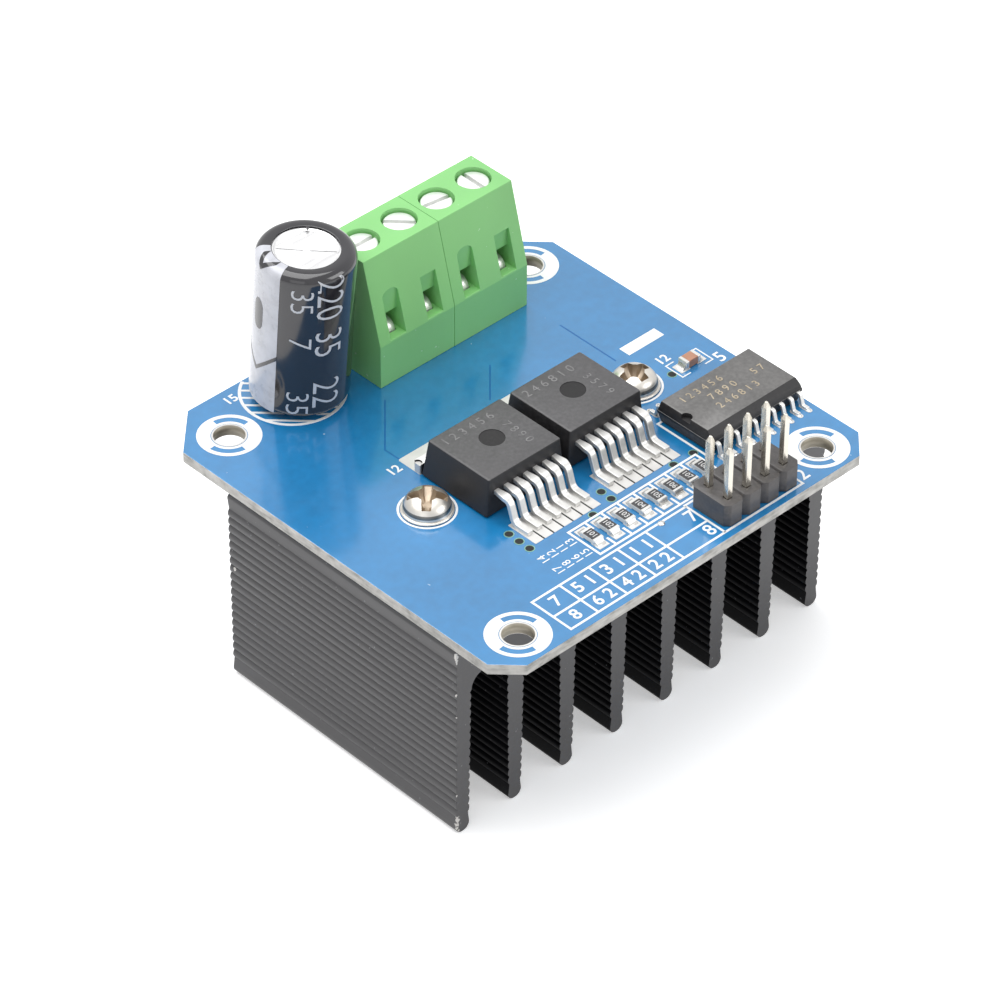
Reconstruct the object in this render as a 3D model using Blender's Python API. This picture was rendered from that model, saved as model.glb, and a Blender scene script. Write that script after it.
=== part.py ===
"""Dc motor driver module: a square circuit board screwed onto a finned heatsink.

The origin is the middle of the footprint, on the surface that the fin tips stand on. +X runs
along the pin header's edge, +Y towards the screw terminals, +Z up. Sizes are in metres.
"""

import math

import bmesh
import bpy
from mathutils import Matrix, Vector

MM = 0.001

# Clearances
FILM = 0.025 * MM            # between pieces that are laid on one another
PIN_CLEARANCE = 0.05 * MM    # around a pin in its hole
RUN_CLEARANCE = 0.08 * MM    # around a piece that turns or slides

# Heatsink
HEATSINK_LENGTH = 32.2 * MM
HEATSINK_HEIGHT = 23.0 * MM
HEATSINK_CENTRE_Y = -2.1 * MM
HEATSINK_BASE = 4.0 * MM
FIN_COUNT = 8
FIN_TIP_THICKNESS = 1.7 * MM
FIN_ROOT_THICKNESS = 2.3 * MM
FIN_TIP_ROUNDING = 0.55 * MM
CHANNEL_FILLET = 1.6 * MM
RIPPLE_PITCH = 1.05 * MM
RIPPLE_DEPTH = 0.16 * MM
RIPPLE_START = 1.0 * MM      # above the fin tip
LIP_HEIGHT = 2.6 * MM        # the smooth band above the outer ripples
LIP_ROUNDING = 0.7 * MM

# Thermal pad between the heatsink and the board
PAD_THICKNESS = 0.15 * MM
PAD_INSET = 1.5 * MM

# Circuit board
BOARD_WIDTH = 50.0 * MM
BOARD_DEPTH = 50.0 * MM
BOARD_THICKNESS = 1.2 * MM
FRONT_CORNER_CUT = 2.6 * MM
BACK_CORNER_CUT = 4.6 * MM
MOUNT_SPACING_X = 40.3 * MM
MOUNT_SPACING_Y = 40.6 * MM
MOUNT_CENTRE_X = 0.15 * MM
MOUNT_CENTRE_Y = -1.0 * MM
MOUNT_HOLE_RADIUS = 1.6 * MM
MOUNT_SEAT_RADIUS = 3.0 * MM
MOUNT_SEAT_HEIGHT = 0.05 * MM

# Screws that hold the board to the heatsink
FIXING_SPACING = 27.9 * MM
FIXING_CENTRE_X = 0.25 * MM
FIXING_Y = -2.2 * MM
FIXING_SHANK_RADIUS = 1.45 * MM
FIXING_SHANK_LENGTH = 5.0 * MM
FIXING_FLANGE_RADIUS = 2.65 * MM
FIXING_FLANGE_HEIGHT = 0.35 * MM
FIXING_HEAD_RADIUS = 2.4 * MM
FIXING_HEAD_HEIGHT = 2.0 * MM
FIXING_DOME_END = 82.0       # degrees, where the flat crown starts
FIXING_DOME_STEPS = 4
FIXING_TIP_CHAMFER = 0.29 * MM
FIXING_RECESS_REACH = 1.65 * MM
FIXING_RECESS_WIDTH = 0.75 * MM
FIXING_RECESS_FLOOR_REACH = 0.6 * MM
FIXING_RECESS_FLOOR_WIDTH = 0.5 * MM
FIXING_RECESS_DEPTH = 1.2 * MM
FIXING_RECESS_ANGLES = (28.0, 62.0)  # degrees, left screw and right screw

# Driver chips, with a metal tab at the back and a row of leads at the front
DRIVER_PITCH = 10.85 * MM
DRIVER_CENTRE_X = 0.02 * MM
DRIVER_BASE_WIDTH = 10.4 * MM
DRIVER_TOP_WIDTH = 9.5 * MM
DRIVER_HEIGHT = 4.4 * MM
DRIVER_STANDOFF = 0.1 * MM
DRIVER_FRONT_Y = -7.15 * MM
DRIVER_BACK_Y = 1.95 * MM
DRIVER_FRONT_DRAFT = 0.15 * MM
DRIVER_BACK_DRAFT = 0.5 * MM
DRIVER_MARK_RADIUS = 1.3 * MM
DRIVER_MARK_DEPTH = 0.08 * MM
DRIVER_MARK_Y = -2.45 * MM
TAB_THICKNESS = 1.27 * MM
TAB_WIDTH = 10.2 * MM
TAB_BACK_Y = 3.05 * MM
TAB_NOTCH_RADIUS = 0.4 * MM
SLUG_WIDTH = 8.4 * MM
SLUG_FRONT_Y = -4.5 * MM
DRIVER_LEADS = 7
DRIVER_LEAD_PITCH = 1.27 * MM
DRIVER_LEAD_THICKNESS = 0.5 * MM
DRIVER_LEAD_WIDTH = 0.62 * MM
DRIVER_LEAD_SHOULDER = 0.92 * MM
DRIVER_LEAD_EXIT_HEIGHT = 2.65 * MM
DRIVER_LEAD_INSERT = 1.0 * MM
DRIVER_LEAD_OUT = 1.75 * MM  # from the chip's front face to the upper bend's corner
DRIVER_LEAD_RUN = 4.6 * MM   # from the chip's front face to the toe
DRIVER_LEAD_FOOT = 2.05 * MM
DRIVER_LEAD_BEND = 0.7 * MM  # radius of both bends, along the lead's middle

# Logic chip with gull-wing leads on both long sides
LOGIC_CENTRE_X = 18.2 * MM
LOGIC_CENTRE_Y = -11.45 * MM
LOGIC_LENGTH = 12.8 * MM
LOGIC_WIDTH = 7.5 * MM
LOGIC_HEIGHT = 2.6 * MM
LOGIC_STANDOFF = 0.15 * MM
LOGIC_DRAFT = 0.28 * MM
LOGIC_BEVEL_WIDTH = 0.75 * MM
LOGIC_BEVEL_HEIGHT = 0.65 * MM
LOGIC_NOTCH_RADIUS = 0.62 * MM
LOGIC_NOTCH_DEPTH = 0.5 * MM
LOGIC_DIMPLE_RADIUS = 0.3 * MM
LOGIC_DIMPLE_DEPTH = 0.12 * MM
LOGIC_DIMPLE_INSET = 0.9 * MM
LOGIC_LEADS = 10             # on each side
LOGIC_LEAD_PITCH = 1.27 * MM
LOGIC_LEAD_WIDTH = 0.44 * MM
LOGIC_LEAD_THICKNESS = 0.27 * MM
LOGIC_LEAD_SPAN = 10.4 * MM  # toe to toe
LOGIC_LEAD_FOOT = 0.75 * MM
LOGIC_LEAD_OUT = 0.32 * MM   # from the chip's side to the upper bend

# Chip resistors, in one row
RESISTOR_COUNT = 8
RESISTOR_PITCH = 2.15 * MM
RESISTOR_FIRST_X = -5.25 * MM
RESISTOR_Y = -16.05 * MM
RESISTOR_LENGTH = 2.0 * MM
RESISTOR_WIDTH = 1.25 * MM
RESISTOR_HEIGHT = 0.5 * MM
RESISTOR_CAP_LENGTH = 0.38 * MM
RESISTOR_CAP_PROUD = 0.04 * MM

# Ceramic chip capacitor, its length along X
CERAMIC_X = 20.75 * MM
CERAMIC_Y = -3.4 * MM
CERAMIC_LENGTH = 2.0 * MM
CERAMIC_WIDTH = 1.25 * MM
CERAMIC_HEIGHT = 0.85 * MM
CERAMIC_CAP_LENGTH = 0.4 * MM
CERAMIC_CAP_PROUD = 0.04 * MM

# Electrolytic capacitor, which leans a little on its leads
CAN_X = -10.45 * MM
CAN_Y = 19.7 * MM
CAN_LIFT = 0.55 * MM
CAN_LEAN_X = 1.6             # degrees, top towards +X
CAN_LEAN_Y = -3.3            # degrees, top towards -Y
CAN_RADIUS = 5.0 * MM
CAN_LENGTH = 17.5 * MM
SLEEVE_WALL = 0.15 * MM
SLEEVE_ROUNDING = 1.0 * MM
SLEEVE_CURL = 60.0           # degrees, how far the sleeve turns in under the can
SLEEVE_OPENING_RADIUS = 3.35 * MM
CAN_TOP_RECESS = 0.25 * MM
CAN_LEAD_PITCH = 5.0 * MM
CAN_LEAD_RADIUS = 0.3 * MM
CAN_LEAD_INSERT = 0.8 * MM
CAN_LEAD_BEND_HEIGHT = 0.17 * MM  # above the board
CAN_LEAD_REACH = 1.4 * MM    # below the board

# Screw terminal block, made of housings that stand side by side
BLOCK_LEFT_X = -4.3 * MM
BLOCK_REAR_Y = 14.56 * MM
HOUSING_COUNT = 2
POLES_PER_HOUSING = 2
POLE_PITCH = 5.0 * MM
HOUSING_GAP = 0.05 * MM
HOUSING_HEIGHT = 14.15 * MM
HOUSING_DEPTH = 10.1 * MM
REAR_CREASE_HEIGHT = 5.0 * MM
REAR_SLOPE_RUN = 2.4 * MM
WIRE_CREASE_HEIGHT = 8.5 * MM
WIRE_SLOPE_RUN = 1.9 * MM
CLAMP_AXIS_INSET = 5.29 * MM  # from the housing's rear foot to the screw's axis
SCREW_WELL_RADIUS = 1.85 * MM
SHOULDER_HEIGHT = 12.2 * MM
SHOULDER_THICKNESS = 1.2 * MM
CHAMBER_WIDTH = 3.8 * MM
CHAMBER_FLOOR = 1.4 * MM
CHAMBER_REAR_WALL = 3.05 * MM
CHAMBER_DEPTH = 4.6 * MM
WIRE_ENTRY_WIDTH = 3.6 * MM
WIRE_ENTRY_LOW = 2.0 * MM
WIRE_ENTRY_HIGH = 6.2 * MM
REAR_SLOT_WIDTH = 2.05 * MM
REAR_SLOT_LOW = 5.2 * MM
REAR_SLOT_MIDDLE = 7.5 * MM
REAR_SLOT_HIGH = 9.65 * MM
REAR_SLOT_ARCH = 0.6 * MM
REAR_SLOT_RECESS = 1.45 * MM  # from the housing's rear foot to the recess wall

# Clamp screw, cage and contact pin in each pole
CLAMP_HEAD_RADIUS = 1.65 * MM
CLAMP_HEAD_HEIGHT = 1.55 * MM
CLAMP_HEAD_CHAMFER = 0.14 * MM
CLAMP_SLOT_WIDTH = 0.5 * MM
CLAMP_SLOT_DEPTH = 0.7 * MM
CLAMP_SLOT_ANGLES = (0.0, -46.0, -8.0, 88.0)  # degrees, from the left pole to the right one
CLAMP_SHANK_RADIUS = 1.2 * MM
CLAMP_TIP_CHAMFER = 0.3 * MM
CAGE_DEPTH = 3.6 * MM
CAGE_FLOOR = 0.7 * MM
CAGE_ROOF = 1.2 * MM
CAGE_SIDE = 0.4 * MM
CAGE_WINDOW = 4.0 * MM
CAGE_REST_HEIGHT = 1.7 * MM
CONTACT_THICKNESS = 0.6 * MM
CONTACT_WIDTH = 2.0 * MM
CONTACT_PIN_WIDTH = 1.1 * MM
CONTACT_TIP_WIDTH = 0.66 * MM
CONTACT_HEIGHT = 5.95 * MM   # middle of the strip
CONTACT_PIN_INSET = 1.44 * MM  # from the housing's rear foot to the pin
CONTACT_BEND_RADIUS = 0.9 * MM
CONTACT_PIN_REACH = 1.9 * MM   # below the board

# Pin header
HEADER_CENTRE_X = 10.1 * MM
HEADER_CENTRE_Y = -21.42 * MM
HEADER_PITCH = 2.54 * MM
HEADER_COLUMNS = 4
HEADER_ROWS = 2
HEADER_HEIGHT = 2.54 * MM
HEADER_CELL_CUT = 0.55 * MM
HEADER_GROOVE_DEPTH = 0.3 * MM
HEADER_GROOVE_WIDTH = 0.36 * MM
HEADER_PIN_SIDE = 0.64 * MM
HEADER_PIN_TOP = 8.5 * MM
HEADER_PIN_REACH = 1.7 * MM   # below the board
HEADER_PIN_TIP = 0.22 * MM
HEADER_PIN_TAPER = 0.6 * MM

# Facets of the round pieces, and the angles up to which edges are shaded smooth
CAN_SIDES = 36
SCREW_SIDES = 24
SHANK_SIDES = 16
HOLE_SIDES = 24
PIN_HOLE_SIDES = 12
ARC_STEPS = 4
EXTRUSION_SMOOTHING = 25.0
TURNED_SMOOTHING = 30.0
BENT_SMOOTHING = 40.0

# Levels, sizes and places that follow from the sizes above
HEATSINK_WIDTH = BOARD_WIDTH  # sawn flush with the board's sides
BOARD_UNDERSIDE = HEATSINK_HEIGHT + PAD_THICKNESS + 2 * FILM
BOARD_TOP = BOARD_UNDERSIDE + BOARD_THICKNESS
PART_SEAT = BOARD_TOP + FILM
HEADER_PIN_HOLE = HEADER_PIN_SIDE / math.sqrt(2) + PIN_CLEARANCE
CONTACT_HOLE = math.hypot(CONTACT_PIN_WIDTH, CONTACT_THICKNESS) / 2 + PIN_CLEARANCE
CAN_LEAD_HOLE = CAN_LEAD_RADIUS + 2 * PIN_CLEARANCE
CLAMP_AXIS_Y = BLOCK_REAR_Y + CLAMP_AXIS_INSET
CONTACT_PIN_Y = BLOCK_REAR_Y + CONTACT_PIN_INSET
POLE_COUNT = HOUSING_COUNT * POLES_PER_HOUSING
HOUSING_WIDTH = POLES_PER_HOUSING * POLE_PITCH
CAGE_WINDOW_WIDTH = 2 * (CLAMP_SHANK_RADIUS + 2 * RUN_CLEARANCE)  # the screw goes down into it
CAGE_WIDTH = CAGE_WINDOW_WIDTH + 2 * CAGE_SIDE


def clear_scene():
    for item in list(bpy.data.objects):
        bpy.data.objects.remove(item, do_unlink=True)


def make_material(name, colour, roughness, metallic=0.0):
    made = bpy.data.materials.new(name)
    made.use_nodes = True
    shader = made.node_tree.nodes["Principled BSDF"]
    shader.inputs["Base Color"].default_value = (*colour, 1.0)
    shader.inputs["Roughness"].default_value = roughness
    shader.inputs["Metallic"].default_value = metallic
    return made


def add_object(name, mesh_builder, surface, smooth_degrees=None):
    """Turns a bmesh into a named object with one material."""
    bmesh.ops.recalc_face_normals(mesh_builder, faces=mesh_builder.faces)
    mesh = bpy.data.meshes.new(name)
    mesh_builder.to_mesh(mesh)
    mesh_builder.free()
    if smooth_degrees is not None:
        mesh.shade_smooth()
        mesh.set_sharp_from_angle(angle=math.radians(smooth_degrees))
    if surface is not None:
        mesh.materials.append(surface)
    made = bpy.data.objects.new(name, mesh)
    bpy.context.scene.collection.objects.link(made)
    return made


def add_boolean(target, mesh_builder, operation, label):
    """Cuts or joins a helper shape, which stays as a hidden wire object."""
    helper = add_object(f"{target.name}_{label}", mesh_builder, None)
    helper.hide_render = True
    helper.display_type = "WIRE"
    modifier = target.modifiers.new(label, "BOOLEAN")
    modifier.operation = operation
    modifier.solver = "EXACT"
    modifier.object = helper


def cut(target, mesh_builder, label):
    add_boolean(target, mesh_builder, "DIFFERENCE", label)


def fuse(target, mesh_builder, label):
    add_boolean(target, mesh_builder, "UNION", label)


def bridge_rings(builder, rings, closed=False):
    """Joins rings of vertices into a tube, with flat ends unless the tube closes on itself."""
    count = len(rings[0])
    pairs = list(zip(rings, rings[1:]))
    if closed:
        pairs.append((rings[-1], rings[0]))
    for lower, upper in pairs:
        for i in range(count):
            j = (i + 1) % count
            builder.faces.new((lower[i], lower[j], upper[j], upper[i]))
    if not closed:
        builder.faces.new(rings[0])
        builder.faces.new(rings[-1])


def add_prism(builder, outline, axis, low, high):
    """Extrudes a flat outline along an axis; the outline's pairs are the other two axes in order."""
    place = {
        "x": lambda a, b, level: (level, a, b),
        "y": lambda a, b, level: (a, level, b),
        "z": lambda a, b, level: (a, b, level),
    }[axis]
    rings = [[builder.verts.new(place(a, b, level)) for a, b in outline] for level in (low, high)]
    bridge_rings(builder, rings)


def add_box(builder, low, high):
    outline = [(low[0], low[1]), (high[0], low[1]), (high[0], high[1]), (low[0], high[1])]
    add_prism(builder, outline, "z", low[2], high[2])


def add_frustum(builder, low_rectangle, high_rectangle, low, high):
    """A block whose top rectangle differs from its bottom one; rectangles are x0, x1, y0, y1."""
    rings = []
    for (x0, x1, y0, y1), level in ((low_rectangle, low), (high_rectangle, high)):
        corners = ((x0, y0), (x1, y0), (x1, y1), (x0, y1))
        rings.append([builder.verts.new((x, y, level)) for x, y in corners])
    bridge_rings(builder, rings)


def circle_points(radius, sides, centre=(0.0, 0.0)):
    turn = 2 * math.pi / sides
    return [
        (centre[0] + radius * math.cos(i * turn), centre[1] + radius * math.sin(i * turn))
        for i in range(sides)
    ]


def arc_points(centre, radius, start, end, steps):
    """Points on an arc, with angles in degrees."""
    points = []
    for i in range(steps + 1):
        angle = math.radians(start + (end - start) * i / steps)
        points.append((centre[0] + radius * math.cos(angle), centre[1] + radius * math.sin(angle)))
    return points


def add_cylinder(builder, centre, radius, low, high, sides):
    add_prism(builder, circle_points(radius, sides, centre), "z", low, high)


def add_turned(builder, profile, sides, centre=(0.0, 0.0), ring=False):
    """Turns a profile of (radius, height) about the vertical through a centre.

    A solid's profile starts and ends at a radius over zero and gets flat ends; a ring's closes.
    """
    rings = []
    for radius, level in profile:
        points = circle_points(radius, sides, centre)
        rings.append([builder.verts.new((x, y, level)) for x, y in points])
    bridge_rings(builder, rings, closed=ring)


def add_strip(builder, path, widths, thickness, x_centre):
    """Sweeps a flat strip along a path of (y, z) points, with its width along X."""
    rings = []
    for i, (y, z) in enumerate(path):
        before = Vector(path[max(i - 1, 0)])
        after = Vector(path[min(i + 1, len(path) - 1)])
        here = Vector((y, z))
        along = (after - before).normalized()
        into = (here - before).normalized() if i > 0 else along
        half_angle = into.angle(along, 0.0) if 0 < i < len(path) - 1 else 0.0
        normal = Vector((-along.y, along.x)) * thickness / 2 / math.cos(half_angle)
        half = widths[i] / 2
        corners = ((-half, normal), (half, normal), (half, -normal), (-half, -normal))
        rings.append(
            [builder.verts.new((x_centre + x, y + n.x, z + n.y)) for x, n in corners]
        )
    bridge_rings(builder, rings)


def bend_points(corner, start_direction, end_direction, radius, steps):
    """Points round a bend that leaves a corner of a path rounded."""
    start_direction = Vector(start_direction).normalized()
    end_direction = Vector(end_direction).normalized()
    turn = start_direction.angle(end_direction)
    trim = radius * math.tan(turn / 2)
    first = Vector(corner) - start_direction * trim
    last = Vector(corner) + end_direction * trim
    centre = Vector(corner) + (end_direction - start_direction).normalized() * (
        radius / math.cos(turn / 2)
    )
    points = []
    for i in range(steps + 1):
        share = i / steps
        mixed = (first - centre) * math.sin((1 - share) * turn) + (last - centre) * math.sin(
            share * turn
        )
        points.append(tuple(centre + mixed / math.sin(turn)))
    return points


# Heatsink
def rippled_side(x_tip, x_root, outward, outer):
    """The wavy side of a fin, from its tip up; outward is the side's direction along X."""
    top = HEATSINK_HEIGHT - HEATSINK_BASE
    ripples_end = HEATSINK_HEIGHT - LIP_HEIGHT if outer else top - CHANNEL_FILLET
    points = []
    for i in range(int((ripples_end - RIPPLE_START) / RIPPLE_PITCH)):
        for share, depth in ((0.25, 0.0), (0.75, RIPPLE_DEPTH)):
            z = RIPPLE_START + (i + share) * RIPPLE_PITCH
            x = x_tip + (x_root - x_tip) * z / top
            points.append((x - outward * depth, z))
    return points


def fin_outline(centre_x, left_outer, right_outer):
    """One fin's outline, down its left side and up its right side."""
    half_tip = FIN_TIP_THICKNESS / 2
    lean = (FIN_ROOT_THICKNESS - FIN_TIP_THICKNESS) / 2
    left_tip, right_tip = centre_x - half_tip, centre_x + half_tip
    left_root = left_tip if left_outer else left_tip - lean
    right_root = right_tip if right_outer else right_tip + lean
    down = list(reversed(rippled_side(left_tip, left_root, -1, left_outer)))
    rounding = FIN_TIP_ROUNDING
    tip = arc_points((left_tip + rounding, rounding), rounding, 180, 270, ARC_STEPS)
    tip += arc_points((right_tip - rounding, rounding), rounding, 270, 360, ARC_STEPS)
    up = rippled_side(right_tip, right_root, 1, right_outer)
    return down + tip + up, left_root, right_root


def heatsink_outline():
    """The extrusion's section in X and Z, counter-clockwise from its top right corner."""
    half = HEATSINK_WIDTH / 2
    first = -half + FIN_TIP_THICKNESS / 2
    pitch = (HEATSINK_WIDTH - FIN_TIP_THICKNESS) / (FIN_COUNT - 1)
    root = HEATSINK_HEIGHT - HEATSINK_BASE
    outline = []
    lip = LIP_ROUNDING
    outline += arc_points((half - lip, HEATSINK_HEIGHT - lip), lip, 0, 90, ARC_STEPS)
    outline += arc_points((lip - half, HEATSINK_HEIGHT - lip), lip, 90, 180, ARC_STEPS)
    previous_root = None
    for i in range(FIN_COUNT):
        left_outer, right_outer = i == 0, i == FIN_COUNT - 1
        points, left_root, right_root = fin_outline(first + i * pitch, left_outer, right_outer)
        if previous_root is not None:
            fillet = CHANNEL_FILLET
            centre_left = (previous_root + fillet, root - fillet)
            centre_right = (left_root - fillet, root - fillet)
            outline += arc_points(centre_left, fillet, 180, 90, ARC_STEPS)
            outline += arc_points(centre_right, fillet, 90, 0, ARC_STEPS)
        outline += points
        previous_root = right_root
    return outline


def fixing_places():
    half = FIXING_SPACING / 2
    return [(FIXING_CENTRE_X - half, FIXING_Y), (FIXING_CENTRE_X + half, FIXING_Y)]


def build_heatsink(surface):
    builder = bmesh.new()
    back = HEATSINK_CENTRE_Y + HEATSINK_LENGTH / 2
    front = HEATSINK_CENTRE_Y - HEATSINK_LENGTH / 2
    add_prism(builder, heatsink_outline(), "y", front, back)
    heatsink = add_object("heatsink", builder, surface, EXTRUSION_SMOOTHING)
    holes = bmesh.new()
    for place in fixing_places():
        low = HEATSINK_HEIGHT - HEATSINK_BASE - 2 * CHANNEL_FILLET
        radius = FIXING_SHANK_RADIUS + PIN_CLEARANCE
        add_cylinder(holes, place, radius, low, HEATSINK_HEIGHT + MM, SHANK_SIDES)
    cut(heatsink, holes, "tapped_holes")


def build_thermal_pad(surface):
    builder = bmesh.new()
    half_x = HEATSINK_WIDTH / 2 - PAD_INSET
    half_y = HEATSINK_LENGTH / 2 - PAD_INSET
    low = HEATSINK_HEIGHT + FILM
    add_box(
        builder,
        (-half_x, HEATSINK_CENTRE_Y - half_y, low),
        (half_x, HEATSINK_CENTRE_Y + half_y, low + PAD_THICKNESS),
    )
    pad = add_object("thermal_pad", builder, surface)
    holes = bmesh.new()
    for place in fixing_places():
        radius = FIXING_SHANK_RADIUS + 2 * PIN_CLEARANCE
        add_cylinder(holes, place, radius, low - MM, BOARD_TOP, SHANK_SIDES)
    cut(pad, holes, "screw_holes")


# Circuit board
def board_outline():
    x, y = BOARD_WIDTH / 2, BOARD_DEPTH / 2
    front, back = FRONT_CORNER_CUT, BACK_CORNER_CUT
    return [
        (-x + front, -y), (x - front, -y), (x, -y + front), (x, y - back),
        (x - back, y), (-x + back, y), (-x, y - back), (-x, -y + front),
    ]


def mount_places():
    half_x, half_y = MOUNT_SPACING_X / 2, MOUNT_SPACING_Y / 2
    return [
        (MOUNT_CENTRE_X + sx * half_x, MOUNT_CENTRE_Y + sy * half_y)
        for sy in (-1, 1) for sx in (-1, 1)
    ]


def header_places():
    places = []
    for row in range(HEADER_ROWS):
        for column in range(HEADER_COLUMNS):
            x = HEADER_CENTRE_X + (column - (HEADER_COLUMNS - 1) / 2) * HEADER_PITCH
            y = HEADER_CENTRE_Y + (row - (HEADER_ROWS - 1) / 2) * HEADER_PITCH
            places.append((x, y))
    return places


def pole_x(pole):
    return BLOCK_LEFT_X + (pole + 0.5) * POLE_PITCH


def can_lead_places():
    return [(CAN_X - CAN_LEAD_PITCH / 2, CAN_Y), (CAN_X + CAN_LEAD_PITCH / 2, CAN_Y)]


def build_board(surface):
    builder = bmesh.new()
    add_prism(builder, board_outline(), "z", BOARD_UNDERSIDE, BOARD_TOP)
    board = add_object("circuit_board", builder, surface)
    seats = bmesh.new()
    for place in mount_places():
        low = BOARD_UNDERSIDE - MOUNT_SEAT_HEIGHT
        middle = (BOARD_UNDERSIDE + BOARD_TOP) / 2
        add_cylinder(seats, place, MOUNT_SEAT_RADIUS, low, middle, HOLE_SIDES)
    fuse(board, seats, "standoff_seats")
    holes = bmesh.new()
    low, high = BOARD_UNDERSIDE - MM, BOARD_TOP + MM
    for place in mount_places():
        add_cylinder(holes, place, MOUNT_HOLE_RADIUS, low, high, HOLE_SIDES)
    for place in fixing_places():
        radius = FIXING_SHANK_RADIUS + 2 * PIN_CLEARANCE
        add_cylinder(holes, place, radius, low, high, SHANK_SIDES)
    for place in header_places():
        add_cylinder(holes, place, HEADER_PIN_HOLE, low, high, PIN_HOLE_SIDES)
    for pole in range(POLE_COUNT):
        place = (pole_x(pole), CONTACT_PIN_Y)
        add_cylinder(holes, place, CONTACT_HOLE, low, high, PIN_HOLE_SIDES)
    for place in can_lead_places():
        add_cylinder(holes, place, CAN_LEAD_HOLE, low, high, PIN_HOLE_SIDES)
    cut(board, holes, "holes")


# Screws through the board into the heatsink
def build_fixing_screw(name, place, recess_angle, surface):
    seat = BOARD_TOP + FILM
    flange = seat + FIXING_FLANGE_HEIGHT
    shank = FIXING_SHANK_RADIUS
    tip = BOARD_TOP - FIXING_SHANK_LENGTH
    profile = [
        (shank - FIXING_TIP_CHAMFER, tip),
        (shank, tip + FIXING_TIP_CHAMFER),
        (shank, seat),
        (FIXING_FLANGE_RADIUS, seat),
        (FIXING_FLANGE_RADIUS, flange),
        (FIXING_HEAD_RADIUS, flange),
    ]
    dome = FIXING_HEAD_HEIGHT - FIXING_FLANGE_HEIGHT
    for step in range(1, FIXING_DOME_STEPS + 1):
        angle = math.radians(FIXING_DOME_END) * step / FIXING_DOME_STEPS
        profile.append((FIXING_HEAD_RADIUS * math.cos(angle), flange + dome * math.sin(angle)))
    builder = bmesh.new()
    add_turned(builder, profile, SCREW_SIDES, place)
    screw = add_object(name, builder, surface, TURNED_SMOOTHING)
    top = seat + FIXING_HEAD_HEIGHT
    recess = bmesh.new()
    sections = (
        (top - FIXING_RECESS_DEPTH, FIXING_RECESS_FLOOR_REACH, FIXING_RECESS_FLOOR_WIDTH / 2),
        (top, FIXING_RECESS_REACH, FIXING_RECESS_WIDTH / 2),
        (top + MM, FIXING_RECESS_REACH, FIXING_RECESS_WIDTH / 2),
    )
    rings = []
    for level, reach, half in sections:
        ring = []
        for quarter in range(4):
            turn = Matrix.Rotation(math.radians(recess_angle + 90 * quarter), 2)
            for corner in ((reach, -half), (reach, half), (half, half)):
                x, y = turn @ Vector(corner)
                ring.append(recess.verts.new((place[0] + x, place[1] + y, level)))
        rings.append(ring)
    bridge_rings(recess, rings)
    cut(screw, recess, "cross_recess")


# Driver chips
def driver_x(index):
    return DRIVER_CENTRE_X + (index - 0.5) * DRIVER_PITCH


def driver_lead_x(index, lead):
    return driver_x(index) + (lead - (DRIVER_LEADS - 1) / 2) * DRIVER_LEAD_PITCH


def driver_lead_path():
    """The lead's middle line in (y, z) from inside the chip to the toe, and its widths there.

    The lead is narrow where it leaves the chip, widens to a shoulder up to the first bend and is
    narrow again from there on.
    """
    high = BOARD_TOP + DRIVER_LEAD_EXIT_HEIGHT
    low = PART_SEAT + DRIVER_LEAD_THICKNESS / 2
    toe = DRIVER_FRONT_Y - DRIVER_LEAD_RUN
    heel = (toe + DRIVER_LEAD_FOOT, low)
    knee = (DRIVER_FRONT_Y - DRIVER_LEAD_OUT, high)
    slope = Vector(heel) - Vector(knee)
    path = [(DRIVER_FRONT_Y + DRIVER_LEAD_INSERT, high), (DRIVER_FRONT_Y - FILM, high)]
    widths = [DRIVER_LEAD_WIDTH, DRIVER_LEAD_WIDTH, DRIVER_LEAD_SHOULDER]
    path += bend_points(knee, (-1, 0), slope, DRIVER_LEAD_BEND, ARC_STEPS)
    path += bend_points(heel, slope, (-1, 0), DRIVER_LEAD_BEND, ARC_STEPS)
    path.append((toe, low))
    widths += [DRIVER_LEAD_WIDTH] * (len(path) - len(widths))
    return path, widths


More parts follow.
